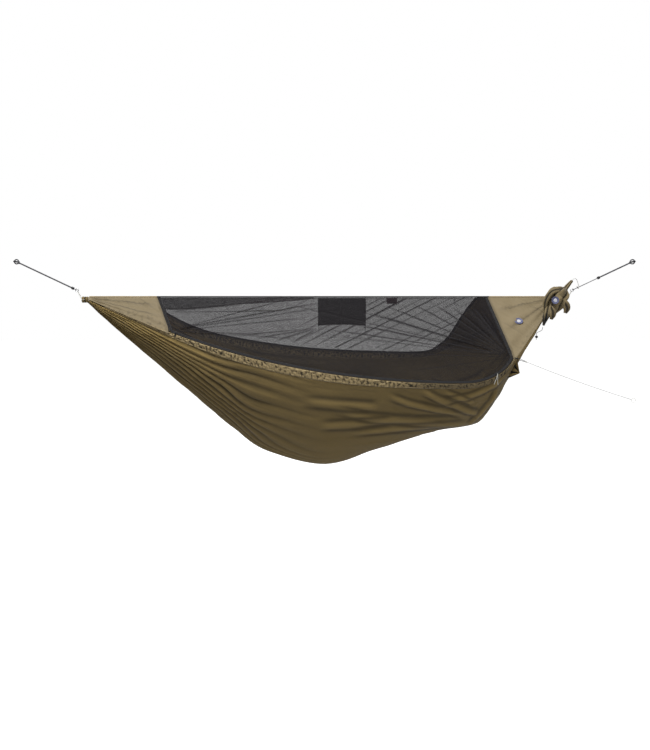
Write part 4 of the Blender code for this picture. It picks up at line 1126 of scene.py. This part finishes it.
make_sheet("pull_tab", lay(8, 24, tab_spot, (0.006, 0.024)), tape, "pull_head", "black_tape",
           ["zip_pull_head"], wall=0.0011)
apex = None
foot_low, foot_high = (Vector(c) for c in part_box("zip_pull_foot"))
heading = Vector((0.8906, 0.4548, 0))
apex = Vector(((foot_low.x + foot_high.x) / 2, (foot_low.y + foot_high.y) / 2, foot_high.z))
apex += heading * 0.0095
tails = []
for label, steps in (("long", ((0.0, 0.0), (0.0006, -0.018), (0.0012, -0.040), (0.0028, -0.0585))),
                     ("short", ((-0.0012, -0.0015), (-0.0052, -0.018), (-0.0130, -0.038),
                                (-0.0222, -0.0555)))):
    path = smooth([apex + heading * (x - 0.0002) + UP_Z * (z - 0.0012) for x, z in steps], 8)
    tails.append((label, path))
knot_top = make("pull_knot", turned([(0, -0.002), (0.0016, -0.0018), (0.0022, 0), (0.0016, 0.0018),
                                     (0, 0.002)], apex - UP_Z * 0.0032, UP_Z, 14), white_braid,
                "pull_foot", "white_cord")
for label, path in tails:
    piece = make("pull_tail_" + label, tube(path, 0.0013, 10), white_braid, "pull_foot", "white_cord",
                 *(["zip_pull_foot"] if label == "long" else []))

# Organizer. A black nylon pocket strip hangs from the ridgeline cord in a sewn sleeve; its open
# pocket faces the door and a tie cord is left at each lower corner.
pocket_cloth = cloth_finish("pocket_nylon", (0.020, 0.019, 0.023), shade=0.5, sheen=0.08)
ORGANIZER_X = 0.099
ORGANIZER_WIDTH = 0.271
ORGANIZER_DROP = 0.152
SLEEVE = 0.0042


def organizer_spot(across, down):
    """Place of a point of the backing: once round the ridgeline cord, then straight down."""
    x = ORGANIZER_X + ORGANIZER_WIDTH * (across - 0.5)
    wrap = 0.16
    if down < wrap:
        turn = math.pi * 1.85 * (1 - down / wrap) + math.radians(14)
        return Vector((x, SLEEVE * math.sin(turn) * 1.0,
                       CORD_Z - SLEEVE * math.cos(turn))), 0.0
    fall = (down - wrap) / (1 - wrap)
    wave = 0.0012 * noise.noise(Vector((x * 22, fall * 2, 5))) * math.sin(math.pi * fall)
    scallop = 0.006 * math.sin(math.pi * across) * fade(0.5, 1, fall)
    z = CORD_Z - SLEEVE - (ORGANIZER_DROP - SLEEVE - scallop) * fall
    return Vector((x, wave + 0.0002, z)), 0.6 * fade(0.95, 1.0, fall)


make_sheet("organizer_backing", lay(90, 60, organizer_spot, (0.271, 0.18)), pocket_cloth,
           "organizer", "pocket_fabric", ["organizer_back"],
           wall=0.0007)


def pocket_spot(across, down):
    """Place of a point of the pocket's front: loose at its mouth, sewn flat round the edges."""
    x = ORGANIZER_X + 0.259 * (across - 0.5)
    sides = math.sin(math.pi * across) ** 0.55
    belly = sides * math.sin(math.pi * (0.16 + 0.84 * down)) ** 0.7 if down < 1 else 0
    crease = noise.noise(Vector((x * 16, down * 5, 2.2)))
    middle = 1 - 0.65 * math.exp(-((across - 0.5) / 0.018) ** 2)
    out = 0.0022 + (0.0125 + 0.0022 * crease) * belly * middle
    z = CORD_Z - ORGANIZER_DROP + 0.0035 + 0.004 * math.sin(math.pi * across) + 0.1155 * (1 - down)
    z -= 0.005 * math.sin(math.pi * across) * (1 - down)
    # painted shade where the pocket's creases sink in
    return Vector((x, -out, z)), max(0.0, min(1.0, -1.4 * crease)) * belly


make_sheet("organizer_front", lay(100, 50, pocket_spot, (0.259, 0.118)), pocket_cloth, "organizer",
           "pocket_fabric", ["organizer_pocket"], wall=0.0008)
mouth = [pocket_spot(i / 60, 0.0)[0] + UP_Z * 0.0004 for i in range(61)]
make("pocket_binding", tube(mouth, 0.0012, 8), tape, "organizer", "pocket_fabric")
for end, sign in (("head", -1), ("foot", 1)):
    start = Vector((ORGANIZER_X + sign * (ORGANIZER_WIDTH / 2 - 0.004), 0,
                    CORD_Z - ORGANIZER_DROP - 0.0004))
    tail = smooth([start, start + Vector((0.0005, 0, -0.012)), start + Vector((0.002, 0, -0.028)),
                   start + Vector((0.005, 0, -0.045))], 8)
    make_cord("corner_cord_" + end, tail, 0.0011, black_braid, "organizer", "black_cord",
              ["organizer_cord_" + end])

# Pouch and hook. A small maroon pouch and a black moulded hook slide along the same cord.
maroon = cloth_finish("maroon_nylon", (0.060, 0.022, 0.032), shade=0.5, sheen=0.1)
pouch_low, pouch_high = (Vector(c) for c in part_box("ridge_pouch"))


def pouch_spot(across, down):
    """Place of a point of the pouch: down the front, round its foot and up the back."""
    x = pouch_low.x + (pouch_high.x - pouch_low.x) * across
    turn = math.tau * down
    tall = (pouch_high.z - pouch_low.z) / 2
    wave = 0.0007 * noise.noise(Vector((x * 60, down * 4, 1)))
    top = max(0.0, math.cos(turn))
    deep = 0.0021 + 0.0026 * top ** 3
    return (Vector((x, math.sin(turn) * deep + wave, pouch_low.z + tall + tall * math.cos(turn))),
            0.5 * fade(0.96, 1.0, abs(2 * across - 1)))


make_sheet("pouch_cloth", lay(40, 48, pouch_spot, (0.06, 0.075)), maroon, "pouch", "maroon_fabric",
           ["ridge_pouch"], wall=0.0006)
hook_x = 0.732
turns = [math.radians(150 - 300 * i / 28) for i in range(29)]
eye = [Vector((hook_x, 0.0044 * math.sin(t), CORD_Z + 0.0044 * math.cos(t))) for t in turns]
shank = smooth([Vector((hook_x + x, y, CORD_Z + z)) for x, y, z in (
    (0, 0.0018, -0.009), (0.001, 0.001, -0.020), (0.005, 0, -0.032), (0.013, 0, -0.038),
    (0.020, 0, -0.034), (0.021, 0, -0.026))], 6)
make("hook_moulding", tube(list(reversed(shank)) + list(reversed(eye)), 0.0013, 10), black_moulding,
     "hook", "black_plastic", "ridge_hook")

# End panels. Four triangles of the bed's nylon close the ends between the net and the gathers;
# each is eased into its gather, so it hangs in shallow folds.
# painted light: the end panels are the bed's own nylon in a lighter colour, where light falls on and through
# them
panel_cloth_painted_lit = cloth_finish("panel_nylon_painted_lit", (0.255, 0.200, 0.112), shade=0.65, drift=0.08)
seam_cloth = cloth_finish("seam_nylon", (0.32, 0.27, 0.17), shade=0.4, drift=0.12)
PANEL_EDGE = 0.0089
PANEL_LAP = 0.020              # lower edge laps over the bed casing


def panel_sheet(name, side, edge, tip, nodes, strong):
    """An end panel ruled from its net seam to its tip."""
    sign = 1 if tip.x > 0 else -1
    spine = Vector((tip.x, SEAM_CLEAR))
    low = tip

    def spot(across, down):
        """Across runs from the net seam to the gather, down from the ridge to the hem."""
        start = at_share(edge, down)
        end = spine.lerp(low, down)
        flat = start.lerp(end, across)
        flat.y += PANEL_LAP * (1.7 if tip.x > 0 else 1) * fade(0.86, 1.0, down) * (1 - 0.4 * across)
        rays = math.sin(10 * down + 1.3) + 0.6 * math.sin(23 * down + 4 * side)
        crinkle = noise.noise(Vector((flat.x * 60, flat.y * 60, 2.0)))
        ray = abs(math.sin(8.5 * down + 1.1 + 0.35 * crinkle))
        cross = noise.noise(Vector((flat.x * 13 + 2 * flat.y, flat.y * 9, 5.0 + side)))
        lean = noise.noise(Vector((flat.x * 26 - 30 * flat.y, flat.y * 4, 8.0)))
        rim = fade(0, 0.10, down) * fade(1, 0.93, down) * fade(0, 0.05, across)
        rim *= fade(1, 0.88, across)
        lift = (0.0035 * rays * (1 - 0.3 * across) + 0.006 * cross + 0.003 * lean) * rim * strong
        # painted shade in the creases: the fold rays, the lean creases and, mostly on the head panels, the
        # crinkles
        crease = 0.75 * (1 - ray) ** 5 * fade(0.02, 0.30, across) + 0.3 * fade(0.3, 0.6, lean)
        crease += 0.28 * fade(0.1, 0.4, crinkle) * fade(0.55, 0.75, down) * (1 if tip.x < 0 else 0.3)
        # painted shade: the head panels are made darker all over
        crease += 0.22 if tip.x < 0 else 0.0
        deep = crease * rim + 0.6 * fade(0.05, 0.0, across) + 0.15 * fade(0.97, 1.0, down)
        lift += 0.0035 * fade(0.88, 1.0, down)
        return on_net(side, flat.x, flat.y, lift), min(1, deep)

    length = abs(tip.x - edge[0].x)
    height = path_length(edge)
    make_sheet(name + "_cloth", lay(130, 60, spot, (length, height)), panel_cloth_painted_lit, "hammock",
               "coyote_fabric", [name],
               wall=0.0006)


def panel_edge(path, reverse):
    """The seam side of a panel, from the ridge down to the hem, PANEL_EDGE away from the net."""
    line = offset(path, PANEL_EDGE)
    for end, inner_one in ((0, 1), (-1, -2)):
        if line[end].y < 2 * SEAM_CLEAR + 0.01:
            run = line[inner_one] - line[end]
            line[end] = line[end] + run * (SEAM_CLEAR - line[end].y) / run.y
    return line[::-1] if reverse else line


near_head_edge = panel_edge(near_border[:2], False)
near_foot_edge = panel_edge(near_border[-2:], True)
far_head_edge = panel_edge(far_border[:2], False)
far_foot_line = panel_edge(far_border[-len(far_edge):], True)
panel_sheet("near_head_panel", -1, near_head_edge, head_tip, None, 1.0)
panel_sheet("near_foot_panel", -1, near_foot_edge, foot_tip, None, 1.0)
panel_sheet("far_head_panel", 1, far_head_edge, head_tip, None, 0.7)
panel_sheet("far_foot_panel", 1, far_foot_line, foot_tip, None, 1.6)

# Corner trim. Webbing loops are bar-tacked at both foot corners, a plain round rubber patch is
# bonded to the near foot panel, and a folded ear of the bed's cloth stands out under the corner.
for name, centre_of, toward in (("near_tie_loop", None, pull_line), ("far_tie_loop", None, UP_Y)):
    low, high = (Vector(c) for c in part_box(name))
    middle = (low + high) / 2
    spin_axis = pull_up if name.startswith("near") else UP_Z

    def webbing_section(share, turn):
        """Flat webbing on edge: thin along the loop's radius and wide along its axis."""
        return 0.0017 * (1 - 0.25 * abs(math.cos(turn)))

    one = spin_axis.orthogonal().normalized()
    two = spin_axis.cross(one)
    loop = [middle + (one * math.cos(math.tau * i / 48) + two * math.sin(math.tau * i / 48)) * 0.0085
            for i in range(49)]
    make(name + "_webbing", tube(loop, webbing_section, 12), tape, "hammock", "black_tape", name)

rubber = solid_finish("slate_rubber", (0.115, 0.125, 0.235), 0.5, grain=250.0, depth=0.00008)
pale_rubber = solid_finish("pale_rubber", (0.62, 0.62, 0.66), 0.5, grain=250.0)


def patch(name, node, centre, normal, radius, nodes_slot):
    """A plain bonded disc with a raised rim and a paler domed middle."""
    profile = [(0, 0.0002), (radius * 0.86, 0.0002), (radius * 0.90, 0.0010), (radius * 0.96, 0.0010),
               (radius, 0.0004), (radius, -0.0004), (0, -0.0004)]
    make(name, turned(profile, centre, normal, 48), rubber, "hammock", nodes_slot, node)
    dome = [(0, 0.0009), (radius * 0.30, 0.0008), (radius * 0.46, 0.0004), (radius * 0.48, 0.0002),
            (radius * 0.48, 0.0001), (0, 0.0001)]
    make(name + "_middle", turned(dome, centre, normal, 36), pale_rubber, "hammock", nodes_slot)


near_normal = on_net(-1, 0, 0, 1) - on_net(-1, 0, 0)
low, high = (Vector(c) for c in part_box("panel_patch"))
patch("foot_patch", "panel_patch", (low + high) / 2 + near_normal * 0.0035, near_normal, 0.023,
      "patch_rubber")

inner_root, inner_out = bed_frame(9.70, 0.36)
outer_root, outer_out = bed_frame(10.38, 0.28)
inner_root += inner_out * 0.005
outer_root += outer_out * 0.005
ear_point = outer_root + Vector((0.006, -0.030, -0.074))
ear_side = (ear_point - inner_root).cross(outer_root - inner_root).normalized()


def ear_spot(across, down):
    """A pinched flap: two folds run out of the seam and meet at its point."""
    fold = abs(math.sin(3 * math.pi * across))
    spot = inner_root.lerp(outer_root, across).lerp(ear_point, down * 0.97)
    lift = 0.014 * (fold - 0.5) * (1 - down) ** 0.7 * fade(0, 0.25, down)
    # painted shade in the flap's fold valleys and a painted highlight on its crests
    return spot + ear_side * lift, 1.9 * (1 - fold) ** 0.9 - 0.4 * fold


make_sheet("ear_cloth", lay(48, 20, ear_spot, (0.10, 0.07)), coyote, "hammock", "coyote_fabric",
           ["corner_ear"], wall=0.0009)

# Stuff sack. The empty coyote sack is bunched on the foot suspension: its neck is twisted up and
# tied to the sling, its body hangs in deep folds, and one lobe sags with the drawcord under it.
SACK_CENTRE = Vector((1.270, -0.128, RIDGE_Z - 0.036))
LOCK_CENTRE = Vector((1.1655, -0.165, RIDGE_Z - 0.222))
neck_tip = Vector((1.386, -0.040, RIDGE_Z + 0.086))
neck_foot = SACK_CENTRE + Vector((0.036, 0.012, 0.048))
body_path = smooth([neck_tip, neck_tip.lerp(neck_foot, 0.5), neck_foot,
                    SACK_CENTRE + Vector((0.012, 0.006, 0.030)), SACK_CENTRE,
                    SACK_CENTRE + Vector((-0.003, -0.002, -0.034)),
                    SACK_CENTRE + Vector((-0.006, -0.004, -0.066))], 14)
BODY_GIRTH = ((0.009,), (0.0125,), (0.018,), (0.050,), (0.064,), (0.050,), (0.010,))


def sack_body(share, turn):
    """Radius of the sack's body: gathered folds that die out towards its belly."""
    wide = catmull(BODY_GIRTH, share * (len(BODY_GIRTH) - 1))[0]
    folds = abs(math.sin(3.5 * turn + 1.2 * share + 0.6 * math.sin(2 * turn)))
    minor = abs(math.sin(9.5 * turn + 2.5 * share))
    depth = 0.32 + 0.10 * fade(0.75, 0.35, share)
    crumple = noise.noise(Vector((math.cos(turn) * 1.6, math.sin(turn) * 1.6, share * 5)))
    return wide * (1 - depth * (1 - folds) ** 1.4 - 0.04 * (1 - minor) ** 2 + 0.22 * crumple)


sack_cloth = cloth_finish("sack_nylon", (0.235, 0.18, 0.088), shade=0.92, drift=0.16)
lobe_path = smooth([SACK_CENTRE + Vector((-0.020, -0.014, -0.002)),
                    SACK_CENTRE + Vector((-0.040, -0.030, -0.036)),
                    SACK_CENTRE + Vector((-0.055, -0.038, -0.078)),
                    SACK_CENTRE + Vector((-0.068, -0.040, -0.124))], 12)
LOBE_GIRTH = ((0.014,), (0.021,), (0.018,), (0.006,))


def sack_lobe(share, turn):
    """Radius of the sagging lobe, creased along its length."""
    wide = catmull(LOBE_GIRTH, share * (len(LOBE_GIRTH) - 1))[0]
    folds = abs(math.sin(2.5 * turn + 3 * share))
    return wide * (1 - 0.45 * (1 - folds) ** 1.3)


def folded(bm, path, section):
    """Mark how deep each point of a tube lies in its folds, as painted shade that darkens its colour there.
    """
    fold = bm.verts.layers.float["fold"]
    total = path_length(path)
    for vert in bm.verts:
        gap, spot, run = 9.0, 0.0, 0.0
        for a, b in zip(path, path[1:]):
            if (vert.co - a).length < gap:
                gap, spot = (vert.co - a).length, run / total
            run += (b - a).length
        wide = catmull(section, spot * (len(section) - 1))[0]
        vert[fold] = min(1.0, max(0.0, 1.0 - gap / max(wide, 0.004)) * 3.2)
    return bm


sack = make("sack_body", folded(tube(body_path, sack_body, 72), body_path, BODY_GIRTH), sack_cloth,
            "hammock", "coyote_fabric", "stuff_sack")
lobe_shape = folded(tube(lobe_path, sack_lobe, 48), lobe_path, LOBE_GIRTH)
for vert in lobe_shape.verts:                  # the lobe hangs in its own shade
    vert[lobe_shape.verts.layers.float["fold"]] += 0.9 * fade(SACK_CENTRE.z - 0.04,
                                                              SACK_CENTRE.z - 0.10, vert.co.z)
lobe = make("sack_lobe", lobe_shape, sack_cloth, "hammock", "coyote_fabric")
for name, girth, steps in (
        ("sack_arch", 0.0155, ((-0.060, -0.030, -0.050), (-0.058, -0.034, 0.005),
                               (-0.030, -0.038, 0.052), (0.006, -0.036, 0.066),
                               (0.036, -0.024, 0.050))),
        ("sack_tail", 0.0210, ((0.030, -0.020, 0.020), (0.052, -0.026, -0.004),
                               (0.060, -0.024, -0.030), (0.054, -0.022, -0.056))),
        ("sack_bight", 0.0190, ((-0.026, -0.036, -0.020), (-0.020, -0.042, -0.052),
                                (-0.026, -0.038, -0.090)))):
    roll_path = smooth([SACK_CENTRE + Vector(step) for step in steps], 12)
    roll_girth = ((0.5 * girth,), (girth,), (1.05 * girth,), (0.5 * girth,))

    def rolled(share, turn):
        """Radius of a fold of loose cloth, pinched along its length."""
        wide = catmull(roll_girth, share * 3)[0]
        pinch = abs(math.sin(1.5 * turn + 1.4 * share + 0.5))
        return wide * (1 - 0.5 * (1 - pinch) ** 1.2)

    roll = make(name, folded(tube(roll_path, rolled, 40), roll_path, roll_girth), sack_cloth,
                "hammock", "coyote_fabric")
low, high = (Vector(c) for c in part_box("sack_patch"))
patch("sack_disc", "sack_patch", (low + high) / 2 + Vector((0.002, -0.020, 0.002)), Vector((0.03, -1, 0.05)),
      0.0205, "patch_rubber")
rim = [body_path[0] + Vector((0.009 * math.cos(math.tau * i / 40), 0.009 * math.sin(math.tau * i / 40),
                              0.001)) for i in range(41)]

# Sack cords. White cord curls from the neck to a hitch round the sling; black drawcord drops from
# the lobe through a sprung cord lock to a short bare tail.
foot_line = (Vector((HANG_HALF, 0, 0)) - Vector((RING_X, 0, RIDGE_Z + RING_LIFT))).normalized()
hitch = Vector((RING_X, 0, RIDGE_Z + RING_LIFT)) + foot_line * 0.036
side_one = foot_line.orthogonal().normalized()
side_two = foot_line.cross(side_one)
turns = [hitch + foot_line * (0.0028 * (i / 48 - 0.5))
         + (side_one * math.cos(math.tau * i / 24) + side_two * math.sin(math.tau * i / 24)) * 0.0074
         for i in range(49)]
make("hitch_turns", tube(turns, 0.0013, 8), white_braid, "hammock", "white_cord", "sack_hitch")
start = neck_tip + (neck_tip - neck_foot).normalized() * 0.0008
neck_cord = smooth([start, start + Vector((0.010, 0.003, 0.012)),
                    start + Vector((0.026, 0.010, 0.012)), start + Vector((0.036, 0.018, -0.002)),
                    hitch + Vector((0.003, -0.0115, 0.006))], 8)
make_cord("neck_cord", neck_cord, 0.0013, white_braid, "hammock", "white_cord", ["sack_neck_cord"])
top = SACK_CENTRE + Vector((-0.0715, -0.040, -0.1318))
draw = smooth([top, top + Vector((-0.006, -0.001, -0.018)),
               LOCK_CENTRE + Vector((0.003, 0.003, 0.022)), LOCK_CENTRE + Vector((0, 0.004, 0.008)),
               LOCK_CENTRE + Vector((0, 0.004, 0)), LOCK_CENTRE + Vector((0, 0.004, -0.016))], 6)
make_cord("draw_cord", draw, 0.0013, black_braid, "hammock", "black_cord", ["sack_drawcord"])
toward = Vector((0, -1, 0))
for node in ("cord_lock_barrel", "cord_lock_button"):
    part_piece = bpy.data.objects[node]
    part_piece.data.materials.clear()
    part_piece.data.materials.append(black_moulding)
